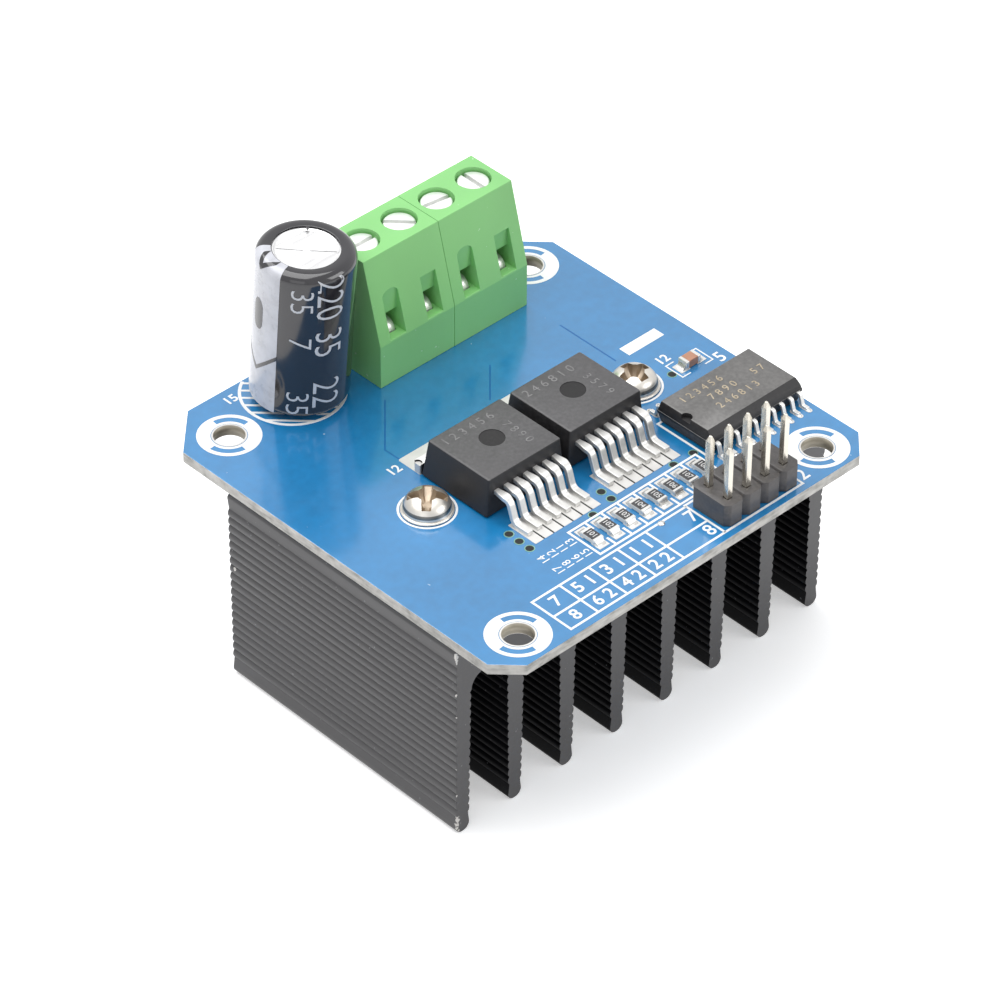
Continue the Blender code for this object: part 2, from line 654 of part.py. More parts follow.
def build_driver(index, side_name, plastic, tab_metal, lead_metal):
    x = driver_x(index)
    base, top = DRIVER_BASE_WIDTH / 2, DRIVER_TOP_WIDTH / 2
    low, high = BOARD_TOP + DRIVER_STANDOFF, BOARD_TOP + DRIVER_HEIGHT
    builder = bmesh.new()
    add_frustum(
        builder,
        (x - base, x + base, DRIVER_FRONT_Y, DRIVER_BACK_Y),
        (x - top, x + top, DRIVER_FRONT_Y + DRIVER_FRONT_DRAFT, DRIVER_BACK_Y - DRIVER_BACK_DRAFT),
        low, high,
    )
    body = add_object(f"driver_body_{side_name}", builder, plastic)
    pockets = bmesh.new()
    slug = SLUG_WIDTH / 2 + PIN_CLEARANCE
    add_box(
        pockets,
        (x - slug, SLUG_FRONT_Y - PIN_CLEARANCE, BOARD_TOP - MM),
        (x + slug, DRIVER_BACK_Y + MM, PART_SEAT + TAB_THICKNESS + FILM),
    )
    half = DRIVER_LEAD_WIDTH / 2 + FILM
    half_high = DRIVER_LEAD_THICKNESS / 2 + FILM
    middle = BOARD_TOP + DRIVER_LEAD_EXIT_HEIGHT
    for lead in range(DRIVER_LEADS):
        lead_x = driver_lead_x(index, lead)
        add_box(
            pockets,
            (lead_x - half, DRIVER_FRONT_Y - MM, middle - half_high),
            (lead_x + half, DRIVER_FRONT_Y + DRIVER_LEAD_INSERT + FILM, middle + half_high),
        )
    add_cylinder(
        pockets, (x, DRIVER_MARK_Y), DRIVER_MARK_RADIUS, high - DRIVER_MARK_DEPTH, high + MM, HOLE_SIDES
    )
    cut(body, pockets, "pockets")
    build_driver_tab(index, side_name, tab_metal)
    path, widths = driver_lead_path()
    for lead in range(DRIVER_LEADS):
        strip = bmesh.new()
        add_strip(strip, path, widths, DRIVER_LEAD_THICKNESS, driver_lead_x(index, lead))
        add_object(f"driver_lead_{side_name}_{lead + 1}", strip, lead_metal, BENT_SMOOTHING)


def build_driver_tab(index, side_name, surface):
    x = driver_x(index)
    wide, narrow = TAB_WIDTH / 2, SLUG_WIDTH / 2
    step = DRIVER_BACK_Y + FILM
    outline = [
        (x - narrow, SLUG_FRONT_Y), (x + narrow, SLUG_FRONT_Y), (x + narrow, step),
        (x + wide, step), (x + wide, TAB_BACK_Y), (x - wide, TAB_BACK_Y),
        (x - wide, step), (x - narrow, step),
    ]
    builder = bmesh.new()
    add_prism(builder, outline, "z", PART_SEAT, PART_SEAT + TAB_THICKNESS)
    tab = add_object(f"driver_tab_{side_name}", builder, surface)
    notches = bmesh.new()
    for side in (-1, 1):
        place = (x + side * wide, (step + TAB_BACK_Y) / 2)
        high = PART_SEAT + TAB_THICKNESS + MM
        add_cylinder(notches, place, TAB_NOTCH_RADIUS, PART_SEAT - MM, high, PIN_HOLE_SIDES)
    cut(tab, notches, "notches")


# Logic chip
def logic_lead_path(side):
    """One lead's middle line in (y, z); side is -1 at the front and 1 at the back."""
    half = LOGIC_WIDTH / 2
    high = BOARD_TOP + LOGIC_STANDOFF + (LOGIC_HEIGHT - LOGIC_STANDOFF) / 2
    low = PART_SEAT + LOGIC_LEAD_THICKNESS / 2
    toe = LOGIC_LEAD_SPAN / 2
    heel = toe - LOGIC_LEAD_FOOT
    knee = half + LOGIC_LEAD_OUT
    steps = [(half - LOGIC_LEAD_THICKNESS, high), (knee, high), (heel, low), (toe, low)]
    return [(LOGIC_CENTRE_Y + side * y, z) for y, z in steps]


def build_logic_chip(plastic):
    half_x, half_y = LOGIC_LENGTH / 2, LOGIC_WIDTH / 2
    x, y = LOGIC_CENTRE_X, LOGIC_CENTRE_Y
    low = BOARD_TOP + LOGIC_STANDOFF
    high = BOARD_TOP + LOGIC_HEIGHT
    middle = (low + high) / 2
    outer = (x - half_x, x + half_x, y - half_y, y + half_y)
    drawn = (
        outer[0] + LOGIC_DRAFT, outer[1] - LOGIC_DRAFT,
        outer[2] + LOGIC_DRAFT, outer[3] - LOGIC_DRAFT,
    )
    builder = bmesh.new()
    rings = []
    for (x0, x1, y0, y1), level in ((drawn, low), (outer, middle), (drawn, high)):
        corners = ((x0, y0), (x1, y0), (x1, y1), (x0, y1))
        rings.append([builder.verts.new((cx, cy, level)) for cx, cy in corners])
    bridge_rings(builder, rings)
    chip = add_object("logic_chip", builder, plastic)
    cuts = bmesh.new()
    wedge = [
        (outer[2] - MM, high + MM),
        (outer[2] - MM, high - LOGIC_BEVEL_HEIGHT - MM * LOGIC_BEVEL_HEIGHT / LOGIC_BEVEL_WIDTH),
        (drawn[2], high - LOGIC_BEVEL_HEIGHT),
        (drawn[2] + LOGIC_BEVEL_WIDTH, high),
        (drawn[2] + LOGIC_BEVEL_WIDTH, high + MM),
    ]
    add_prism(cuts, wedge, "x", outer[0] - MM, outer[1] + MM)
    cut(chip, cuts, "front_bevel")
    marks = bmesh.new()
    add_cylinder(
        marks, (drawn[0], y), LOGIC_NOTCH_RADIUS, high - LOGIC_NOTCH_DEPTH, high + MM, HOLE_SIDES
    )
    dimple = (drawn[0] + LOGIC_DIMPLE_INSET, drawn[2] + LOGIC_BEVEL_WIDTH + LOGIC_DIMPLE_INSET)
    add_cylinder(
        marks, dimple, LOGIC_DIMPLE_RADIUS, high - LOGIC_DIMPLE_DEPTH, high + MM, PIN_HOLE_SIDES
    )
    cut(chip, marks, "marks")
    leads = bmesh.new()
    for side in (-1, 1):
        path = logic_lead_path(side)
        for lead in range(LOGIC_LEADS):
            lead_x = x + (lead - (LOGIC_LEADS - 1) / 2) * LOGIC_LEAD_PITCH
            add_strip(leads, path, [LOGIC_LEAD_WIDTH] * len(path), LOGIC_LEAD_THICKNESS, lead_x)
    fuse(chip, leads, "leads")


# Chip resistors and the ceramic capacitor
def chip_outline(length, height, cap_length, cap_proud):
    """Side view of a chip part in (along, z), its end caps a little proud of its body."""
    half = length / 2
    inner = half - cap_length
    low, high = PART_SEAT, PART_SEAT + height
    return [
        (-half, low), (-inner, low), (-inner, low + cap_proud), (inner, low + cap_proud),
        (inner, low), (half, low), (half, high + cap_proud), (inner, high + cap_proud),
        (inner, high), (-inner, high), (-inner, high + cap_proud), (-half, high + cap_proud),
    ]


def build_resistors(surface):
    outline = chip_outline(
        RESISTOR_LENGTH, RESISTOR_HEIGHT, RESISTOR_CAP_LENGTH, RESISTOR_CAP_PROUD
    )
    outline = [(RESISTOR_Y + along, z) for along, z in outline]
    for i in range(RESISTOR_COUNT):
        x = RESISTOR_FIRST_X + i * RESISTOR_PITCH
        builder = bmesh.new()
        add_prism(builder, outline, "x", x - RESISTOR_WIDTH / 2, x + RESISTOR_WIDTH / 2)
        add_object(f"resistor_{i + 1}", builder, surface)


def build_ceramic_capacitor(surface):
    outline = chip_outline(CERAMIC_LENGTH, CERAMIC_HEIGHT, CERAMIC_CAP_LENGTH, CERAMIC_CAP_PROUD)
    outline = [(CERAMIC_X + along, z) for along, z in outline]
    builder = bmesh.new()
    half = CERAMIC_WIDTH / 2
    add_prism(builder, outline, "y", CERAMIC_Y - half, CERAMIC_Y + half)
    add_object("ceramic_capacitor", builder, surface)


# Electrolytic capacitor
def can_lean():
    along = Vector((
        math.tan(math.radians(CAN_LEAN_X)), math.tan(math.radians(CAN_LEAN_Y)), 1.0
    )).normalized()
    return Vector((0, 0, 1)).rotation_difference(along)


def build_can(aluminium, sleeve_film, tinned):
    stand = bpy.data.objects.new("capacitor_stand", None)
    bpy.context.scene.collection.objects.link(stand)
    stand.location = (CAN_X, CAN_Y, BOARD_TOP + CAN_LIFT)
    stand.rotation_mode = "QUATERNION"
    stand.rotation_quaternion = can_lean()
    rounding, wall = SLEEVE_ROUNDING, SLEEVE_WALL
    top = CAN_LENGTH
    outer = [(SLEEVE_OPENING_RADIUS, top)]
    outer += arc_points((CAN_RADIUS - rounding, top - rounding), rounding, 90, 0, ARC_STEPS)
    outer += arc_points((CAN_RADIUS - rounding, rounding), rounding, 0, -SLEEVE_CURL, ARC_STEPS)
    inner_rounding = rounding - wall
    inner = arc_points(
        (CAN_RADIUS - rounding, rounding), inner_rounding, -SLEEVE_CURL, 0, ARC_STEPS
    )
    inner += arc_points(
        (CAN_RADIUS - rounding, top - rounding), inner_rounding, 0, 90, ARC_STEPS
    )
    inner.append((SLEEVE_OPENING_RADIUS, top - wall))
    builder = bmesh.new()
    add_turned(builder, outer + inner, CAN_SIDES, ring=True)
    sleeve = add_object("capacitor_sleeve", builder, sleeve_film, BENT_SMOOTHING)
    sleeve.parent = stand
    can_rounding = inner_rounding - PIN_CLEARANCE
    radius = CAN_RADIUS - wall - PIN_CLEARANCE
    can_top = top - wall - PIN_CLEARANCE
    centre_r = radius - can_rounding
    profile = arc_points((centre_r, rounding), can_rounding, -SLEEVE_CURL, 0, ARC_STEPS)
    profile += arc_points((centre_r, can_top - can_rounding), can_rounding, 0, 90, ARC_STEPS)
    profile.append((SLEEVE_OPENING_RADIUS - wall, can_top))
    profile.append((SLEEVE_OPENING_RADIUS - wall - CAN_TOP_RECESS, can_top - CAN_TOP_RECESS))
    builder = bmesh.new()
    add_turned(builder, profile, CAN_SIDES)
    can = add_object("capacitor_can", builder, aluminium, BENT_SMOOTHING)
    can.parent = stand
    sockets = bmesh.new()
    socket_top = profile[0][1] + CAN_LEAD_INSERT + PIN_CLEARANCE
    for side in (-1, 1):
        place = (side * CAN_LEAD_PITCH / 2, 0.0)
        radius = CAN_LEAD_RADIUS + 2 * PIN_CLEARANCE
        add_cylinder(sockets, place, radius, -MM, socket_top, PIN_HOLE_SIDES)
    cut(can, sockets, "lead_sockets")
    helper = can.modifiers["lead_sockets"].object
    helper.parent = stand
    build_can_leads(profile[0][1], tinned)


def build_can_leads(can_floor, surface):
    """Each lead leaves the can along its leaning axis, then turns straight down."""
    lean = can_lean()
    foot = Vector((CAN_X, CAN_Y, BOARD_TOP + CAN_LIFT))
    for number, side in ((1, -1), (2, 1)):
        start = Vector((side * CAN_LEAD_PITCH / 2, 0, can_floor + CAN_LEAD_INSERT))
        exit_point = foot + lean @ Vector((start.x, start.y, can_floor))
        down = Vector((
            CAN_X + side * CAN_LEAD_PITCH / 2, CAN_Y, BOARD_TOP + CAN_LEAD_BEND_HEIGHT
        ))
        end = Vector((down.x, down.y, BOARD_UNDERSIDE - CAN_LEAD_REACH))
        builder = bmesh.new()
        rings = []
        for point in (foot + lean @ start, exit_point, down, end):
            circle = circle_points(CAN_LEAD_RADIUS, PIN_HOLE_SIDES, (point.x, point.y))
            rings.append([builder.verts.new((x, y, point.z)) for x, y in circle])
        bridge_rings(builder, rings)
        add_object(f"capacitor_lead_{number}", builder, surface, BENT_SMOOTHING)


# Screw terminal block
def housing_outline():
    """The housing's side view in (y, z)."""
    low, high = PART_SEAT, PART_SEAT + HOUSING_HEIGHT
    rear, wire = BLOCK_REAR_Y, BLOCK_REAR_Y + HOUSING_DEPTH
    return [
        (rear, low), (wire, low), (wire, PART_SEAT + WIRE_CREASE_HEIGHT),
        (wire - WIRE_SLOPE_RUN, high), (rear + REAR_SLOPE_RUN, high),
        (rear, PART_SEAT + REAR_CREASE_HEIGHT),
    ]


def slot_outline(x, arched):
    """A rear recess in (x, z), with an arched or a square top."""
    half = REAR_SLOT_WIDTH / 2
    low, high = PART_SEAT + REAR_SLOT_LOW, PART_SEAT + REAR_SLOT_HIGH
    if not arched:
        return [(x - half, low), (x + half, low), (x + half, high), (x - half, high)]
    outline = [(x - half, low), (x + half, low)]
    for i in range(ARC_STEPS * 2 + 1):
        angle = math.pi * i / (ARC_STEPS * 2)
        outline.append((x + half * math.cos(angle), high + REAR_SLOT_ARCH * math.sin(angle)))
    return outline


def build_housing(index, side_name, surface):
    left = BLOCK_LEFT_X + index * HOUSING_WIDTH + HOUSING_GAP / 2
    right = left + HOUSING_WIDTH - HOUSING_GAP
    builder = bmesh.new()
    add_prism(builder, housing_outline(), "x", left, right)
    housing = add_object(f"terminal_housing_{side_name}", builder, surface)
    wells, chambers, recesses, channels = (bmesh.new() for _ in range(4))
    roof = PART_SEAT + SHOULDER_HEIGHT - SHOULDER_THICKNESS
    chamber_rear = BLOCK_REAR_Y + CHAMBER_REAR_WALL
    for k in range(POLES_PER_HOUSING):
        pole = index * POLES_PER_HOUSING + k
        x = pole_x(pole)
        well = [
            (CLAMP_SHANK_RADIUS + 2 * RUN_CLEARANCE, roof - RUN_CLEARANCE),
            (CLAMP_SHANK_RADIUS + 2 * RUN_CLEARANCE, PART_SEAT + SHOULDER_HEIGHT),
            (SCREW_WELL_RADIUS, PART_SEAT + SHOULDER_HEIGHT),
            (SCREW_WELL_RADIUS, PART_SEAT + HOUSING_HEIGHT + MM),
        ]
        add_turned(wells, well, SCREW_SIDES, (x, CLAMP_AXIS_Y))
        half = CHAMBER_WIDTH / 2
        add_box(
            chambers,
            (x - half, chamber_rear, PART_SEAT + CHAMBER_FLOOR),
            (x + half, chamber_rear + CHAMBER_DEPTH, roof),
        )
        half = WIRE_ENTRY_WIDTH / 2
        add_box(
            channels,
            (x - half, chamber_rear + CHAMBER_DEPTH / 2, PART_SEAT + WIRE_ENTRY_LOW),
            (x + half, BLOCK_REAR_Y + HOUSING_DEPTH + MM, PART_SEAT + WIRE_ENTRY_HIGH),
        )
        arched = k % 2 == 0
        recess_wall = BLOCK_REAR_Y + REAR_SLOT_RECESS
        add_prism(recesses, slot_outline(x, arched), "y", BLOCK_REAR_Y - MM, recess_wall)
        half = REAR_SLOT_WIDTH / 2
        add_box(
            channels,
            (x - half, BLOCK_REAR_Y + REAR_SLOT_RECESS / 2, PART_SEAT + REAR_SLOT_LOW),
            (x + half, chamber_rear + CHAMBER_DEPTH / 4, PART_SEAT + REAR_SLOT_MIDDLE),
        )
    cut(housing, wells, "screw_wells")
    cut(housing, chambers, "chambers")
    cut(housing, recesses, "rear_recesses")
    cut(housing, channels, "wire_entries")
    feet = bmesh.new()
    for k in range(POLES_PER_HOUSING):
        x = pole_x(index * POLES_PER_HOUSING + k)
        half_x = CONTACT_PIN_WIDTH / 2 + 2 * PIN_CLEARANCE
        half_y = CONTACT_THICKNESS / 2 + 2 * PIN_CLEARANCE
        add_box(
            feet,
            (x - half_x, CONTACT_PIN_Y - half_y, PART_SEAT - MM),
            (x + half_x, CONTACT_PIN_Y + half_y, PART_SEAT + REAR_SLOT_LOW + FILM),
        )
    cut(housing, feet, "pin_channels")


def build_clamp_screw(pole, surface):
    """Its object's origin is on the axis that it turns about."""
    seat = SHOULDER_HEIGHT + FILM
    tip = CONTACT_HEIGHT + CONTACT_THICKNESS / 2 + 2 * RUN_CLEARANCE
    top = seat + CLAMP_HEAD_HEIGHT
    shank = CLAMP_SHANK_RADIUS
    profile = [
        (shank - CLAMP_TIP_CHAMFER, tip), (shank, tip + CLAMP_TIP_CHAMFER), (shank, seat),
        (CLAMP_HEAD_RADIUS, seat), (CLAMP_HEAD_RADIUS, top - CLAMP_HEAD_CHAMFER),
        (CLAMP_HEAD_RADIUS - CLAMP_HEAD_CHAMFER, top),
    ]
    builder = bmesh.new()
    add_turned(builder, profile, SCREW_SIDES)
    screw = add_object(f"clamp_screw_{pole + 1}", builder, surface, TURNED_SMOOTHING)
    slot = bmesh.new()
    reach, half = CLAMP_HEAD_RADIUS + MM, CLAMP_SLOT_WIDTH / 2
    outline = [(-reach, -half), (reach, -half), (reach, half), (-reach, half)]
    turn = Matrix.Rotation(math.radians(CLAMP_SLOT_ANGLES[pole % len(CLAMP_SLOT_ANGLES)]), 2)
    outline = [tuple(turn @ Vector(point)) for point in outline]
    add_prism(slot, outline, "z", top - CLAMP_SLOT_DEPTH, top + MM)
    cut(screw, slot, "slot")
    place = (pole_x(pole), CLAMP_AXIS_Y, PART_SEAT)
    screw.location = place
    screw.modifiers["slot"].object.location = place


def build_clamp_cage(pole, surface):
    """A ring round the wire and the contact strip, threaded in its roof."""
    half = CAGE_WIDTH / 2
    low = CAGE_REST_HEIGHT
    high = low + CAGE_FLOOR + CAGE_WINDOW + CAGE_ROOF
    builder = bmesh.new()
    add_box(builder, (-half, -CAGE_DEPTH / 2, low), (half, CAGE_DEPTH / 2, high))
    cage = add_object(f"clamp_cage_{pole + 1}", builder, surface)
    window = bmesh.new()
    inner = CAGE_WINDOW_WIDTH / 2
    add_box(
        window,
        (-inner, -CAGE_DEPTH, low + CAGE_FLOOR),
        (inner, CAGE_DEPTH, low + CAGE_FLOOR + CAGE_WINDOW),
    )
    cut(cage, window, "window")
    thread = bmesh.new()
    radius = CLAMP_SHANK_RADIUS + RUN_CLEARANCE
    add_cylinder(
        thread, (0.0, 0.0), radius, low + CAGE_FLOOR + CAGE_WINDOW / 2, high + MM, SCREW_SIDES
    )
    cut(cage, thread, "thread")
    place = (pole_x(pole), CLAMP_AXIS_Y, PART_SEAT)
    cage.location = place
    for modifier in cage.modifiers:
        modifier.object.location = place


def build_contact_pin(pole, surface):
    """A strip under the screw, bent down behind the cage into a solder pin."""
    level = PART_SEAT + CONTACT_HEIGHT
    end = CLAMP_AXIS_Y + CAGE_DEPTH / 2
    corner = (CONTACT_PIN_Y, level)
    bend = bend_points(corner, (-1, 0), (0, -1), CONTACT_BEND_RADIUS, ARC_STEPS)
    narrow_from = BLOCK_REAR_Y + CHAMBER_REAR_WALL + PIN_CLEARANCE
    path = [(end, level), (narrow_from + CONTACT_THICKNESS / 2, level), (narrow_from, level)]
    widths = [CONTACT_WIDTH, CONTACT_WIDTH, CONTACT_PIN_WIDTH]
    path += bend
    widths += [CONTACT_PIN_WIDTH] * len(bend)
    tip = BOARD_UNDERSIDE - CONTACT_PIN_REACH
    path += [(CONTACT_PIN_Y, tip + CONTACT_THICKNESS / 2), (CONTACT_PIN_Y, tip)]
    widths += [CONTACT_PIN_WIDTH, CONTACT_TIP_WIDTH]
    builder = bmesh.new()
    add_strip(builder, path, widths, CONTACT_THICKNESS, pole_x(pole))
    add_object(f"terminal_pin_{pole + 1}", builder, surface, BENT_SMOOTHING)


# Pin header
def header_outline():
    """The base's plan: cells with cut corners, one for each column."""
    cut_off = HEADER_CELL_CUT
    half_y = HEADER_ROWS * HEADER_PITCH / 2
    left = HEADER_CENTRE_X - HEADER_COLUMNS * HEADER_PITCH / 2
    front, back = [], []
    for column in range(HEADER_COLUMNS):
        x0 = left + column * HEADER_PITCH
        x1 = x0 + HEADER_PITCH
        if column == 0:
            front.append((x0, HEADER_CENTRE_Y - half_y + cut_off))
        front.append((x0 + cut_off, HEADER_CENTRE_Y - half_y))
        front.append((x1 - cut_off, HEADER_CENTRE_Y - half_y))
        front.append((x1, HEADER_CENTRE_Y - half_y + cut_off))
        if column == 0:
            back.append((x0, HEADER_CENTRE_Y + half_y - cut_off))
        back.append((x0 + cut_off, HEADER_CENTRE_Y + half_y))
        back.append((x1 - cut_off, HEADER_CENTRE_Y + half_y))
        back.append((x1, HEADER_CENTRE_Y + half_y - cut_off))
    return front + list(reversed(back))


def build_header_base(surface):
    top = PART_SEAT + HEADER_HEIGHT
    builder = bmesh.new()
    add_prism(builder, header_outline(), "z", PART_SEAT, top)
    base = add_object("header_base", builder, surface)
    grooves = bmesh.new()
    half_y = HEADER_ROWS * HEADER_PITCH / 2 + MM
    left = HEADER_CENTRE_X - HEADER_COLUMNS * HEADER_PITCH / 2
    half = HEADER_GROOVE_WIDTH / 2
    rise = MM
    flare = half * (HEADER_GROOVE_DEPTH + rise) / HEADER_GROOVE_DEPTH
    for column in range(1, HEADER_COLUMNS):
        x = left + column * HEADER_PITCH
        wedge = [(x, top - HEADER_GROOVE_DEPTH), (x + flare, top + rise), (x - flare, top + rise)]
        add_prism(grooves, wedge, "y", HEADER_CENTRE_Y - half_y, HEADER_CENTRE_Y + half_y)
    cut(base, grooves, "grooves")
    holes = bmesh.new()
    half = HEADER_PIN_SIDE / 2 + FILM
    for x, y in header_places():
        add_box(holes, (x - half, y - half, PART_SEAT - MM), (x + half, y + half, top + MM))
    cut(base, holes, "pin_holes")


def build_header_pins(surface):
    half, tip = HEADER_PIN_SIDE / 2, HEADER_PIN_TIP / 2
    low, high = BOARD_UNDERSIDE - HEADER_PIN_REACH, BOARD_TOP + HEADER_PIN_TOP
    levels = [
        (tip, low), (half, low + HEADER_PIN_TAPER), (half, high - HEADER_PIN_TAPER), (tip, high),
    ]
    for number, (x, y) in enumerate(header_places(), 1):
        builder = bmesh.new()
        rings = []
        for reach, level in levels:
            corners = ((-reach, -reach), (reach, -reach), (reach, reach), (-reach, reach))
            rings.append([builder.verts.new((x + a, y + b, level)) for a, b in corners])
        bridge_rings(builder, rings)
        add_object(f"header_pin_{number}", builder, surface)


def build_module():
    anodised = make_material("anodised_black", (0.025, 0.025, 0.028), 0.5, 0.6)
    pad_grey = make_material("thermal_pad_grey", (0.12, 0.13, 0.14), 0.9)
    board_blue = make_material("board_blue", (0.02, 0.16, 0.45), 0.35)
    nickel = make_material("nickel", (0.72, 0.69, 0.62), 0.25, 1.0)
    chip_black = make_material("chip_black", (0.05, 0.05, 0.052), 0.55)
    tinned = make_material("tinned", (0.8, 0.79, 0.76), 0.35, 1.0)
    resistor_black = make_material("resistor_black", (0.04, 0.04, 0.045), 0.4)
    ceramic_brown = make_material("ceramic_brown", (0.45, 0.22, 0.12), 0.5)
    aluminium = make_material("aluminium", (0.85, 0.85, 0.86), 0.3, 1.0)
    sleeve_film = make_material("sleeve_black", (0.03, 0.03, 0.045), 0.3)
    green_plastic = make_material("green_plastic", (0.25, 0.56, 0.2), 0.45)
    zinc = make_material("zinc", (0.78, 0.78, 0.8), 0.3, 1.0)
    header_black = make_material("header_black", (0.04, 0.04, 0.042), 0.6)
    pin_metal = make_material("pin_metal", (0.8, 0.76, 0.68), 0.3, 1.0)

    build_heatsink(anodised)
    build_thermal_pad(pad_grey)
    build_board(board_blue)
    for name, place, angle in zip(("left", "right"), fixing_places(), FIXING_RECESS_ANGLES):
        build_fixing_screw(f"heatsink_screw_{name}", place, angle, nickel)
    for index, name in enumerate(("left", "right")):
        build_driver(index, name, chip_black, tinned, tinned)
    build_logic_chip(chip_black)
    build_resistors(resistor_black)
    build_ceramic_capacitor(ceramic_brown)
    build_can(aluminium, sleeve_film, tinned)
    for index, name in enumerate(("left", "right")):
        build_housing(index, name, green_plastic)
    for pole in range(POLE_COUNT):
        build_clamp_screw(pole, zinc)
        build_clamp_cage(pole, zinc)
        build_contact_pin(pole, tinned)
    build_header_base(header_black)
    build_header_pins(pin_metal)


clear_scene()
build_module()
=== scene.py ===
"""Looks of the dc motor driver module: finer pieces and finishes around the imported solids.

Shapes are drawn in millimetres, in the part's own frame, and turned into metres when their
object is made. The origin is the middle of the footprint, and +Y points at the screw terminals.
"""

import math

import bmesh
import bpy
from mathutils import Matrix, Vector


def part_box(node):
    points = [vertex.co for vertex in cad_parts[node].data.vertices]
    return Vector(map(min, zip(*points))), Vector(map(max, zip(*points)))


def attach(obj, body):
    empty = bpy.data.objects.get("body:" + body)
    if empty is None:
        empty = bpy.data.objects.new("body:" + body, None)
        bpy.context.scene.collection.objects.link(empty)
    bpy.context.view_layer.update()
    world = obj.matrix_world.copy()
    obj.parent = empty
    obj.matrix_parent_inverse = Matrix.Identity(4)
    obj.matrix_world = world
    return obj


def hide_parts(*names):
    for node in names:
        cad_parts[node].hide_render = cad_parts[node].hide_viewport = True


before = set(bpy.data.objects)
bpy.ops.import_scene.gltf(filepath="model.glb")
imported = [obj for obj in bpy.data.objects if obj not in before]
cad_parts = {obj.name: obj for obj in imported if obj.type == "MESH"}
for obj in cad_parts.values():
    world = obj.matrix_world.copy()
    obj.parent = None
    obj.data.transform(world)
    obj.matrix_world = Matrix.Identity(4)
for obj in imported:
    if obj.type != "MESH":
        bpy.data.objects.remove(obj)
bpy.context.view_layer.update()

MM = 0.001
MODULE = "module"


def box(node):
    low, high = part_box(node)
    return low / MM, high / MM


def middle(node):
    low, high = box(node)
    return (low + high) / 2


# Levels and places that several sections share
SIDES = ("left", "right")
TOP = box("circuit_board")[1].z
SEAT_RING_HEIGHT = 0.05
UNDERSIDE = box("circuit_board")[0].z + SEAT_RING_HEIGHT
SEAT = box("driver_tab_left")[0].z
INK = TOP + 0.03             # upper face of the printed lines
CROSSING = 0.004             # how much lower a printed line lies where it crosses another
FOIL = TOP + 0.045           # upper face of bare pads
CLEAR = 0.02                 # how far a print stands off the chip that carries it
HALF_BOARD = box("circuit_board")[1].x
HEATSINK_LOW, HEATSINK_HIGH = box("heatsink")
FIXINGS = [middle("heatsink_screw_left").xy, middle("heatsink_screw_right").xy]
MOUNT_HOLES = [(-20.0, -21.3), (20.3, -21.3), (-20.0, 19.3), (20.3, 19.3)]
MOUNT_HOLE_RADIUS = 1.6
CAN_FOOT = Vector((-10.45, 19.7, TOP + 0.55))
CAN_LEAD_PITCH = 5.0
CONTACT_THICKNESS = 0.6
LOGIC = middle("logic_chip")
LOGIC_LEADS = 10
LEAD_PITCH = 1.27


def pin_places():
    return [middle(f"header_pin_{number}").xy for number in range(1, 9)]


def contact_places():
    """The solder pins of the terminals, at the front end of each contact."""
    places = []
    for pole in range(1, 5):
        node = f"terminal_pin_{pole}"
        places.append(Vector((middle(node).x, box(node)[0].y + CONTACT_THICKNESS / 2)))
    return places


def can_lead_places():
    return [CAN_FOOT.xy + Vector((side * CAN_LEAD_PITCH / 2, 0)) for side in (-1, 1)]


def logic_lead_x(lead):
    return LOGIC.x + (lead - (LOGIC_LEADS - 1) / 2) * LEAD_PITCH


# Objects and modifiers
def linked(name, data):
    made = bpy.data.objects.new(name, data)
    bpy.context.scene.collection.objects.link(made)
    return made


def smooth_under(mesh, degrees):
    mesh.shade_smooth()
    mesh.set_sharp_from_angle(angle=math.radians(degrees))


def plain_object(name, builder, materials=(), smooth=None):
    """Makes an object from a mesh in millimetres; bends under the smooth angle are shaded round."""
    bmesh.ops.remove_doubles(builder, verts=builder.verts, dist=1e-4)
    bmesh.ops.recalc_face_normals(builder, faces=builder.faces)
    bmesh.ops.scale(builder, vec=(MM, MM, MM), verts=builder.verts)
    mesh = bpy.data.meshes.new(name)
    builder.to_mesh(mesh)
    builder.free()
    for material in materials:
        mesh.materials.append(material)
    if smooth is not None:
        smooth_under(mesh, smooth)
    return linked(name, mesh)


def piece(name, builder, materials, smooth=None, body=MODULE, nodes=()):
    made = plain_object(name, builder, materials, smooth)
    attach(made, body)
    if nodes:
        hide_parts(*nodes)
    return made


def evaluated_mesh(item):
    bpy.context.view_layer.update()
    graph = bpy.context.evaluated_depsgraph_get()
    return bpy.data.meshes.new_from_object(item.evaluated_get(graph))


def apply_modifiers(item):
    mesh = evaluated_mesh(item)
    item.modifiers.clear()
    mesh.name = item.name
    item.data = mesh


def paint_faces(item, slot, wanted):
    """Gives a slot to the faces that the test picks by their middle, in mm, and normal."""
    for face in item.data.polygons:
        if wanted(face.center / MM, face.normal):
            face.material_index = slot


def repaint(node, material):
    """A better material for a CAD node that keeps its own shape."""
    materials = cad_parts[node].data.materials
    materials.clear()
    materials.append(material)


def carve(item, builder, smooth=None, slot=0):
    """Cuts a shape out of an object for good; the cut faces take the slot."""
    for face in builder.faces:
        face.material_index = slot
    cutter = plain_object("cutter", builder, item.data.materials)
    modifier = item.modifiers.new("cut", "BOOLEAN")
    modifier.operation = "DIFFERENCE"
    modifier.solver = "EXACT"
    modifier.object = cutter
    apply_modifiers(item)
    bpy.data.objects.remove(cutter, do_unlink=True)
    if smooth is not None:
        smooth_under(item.data, smooth)


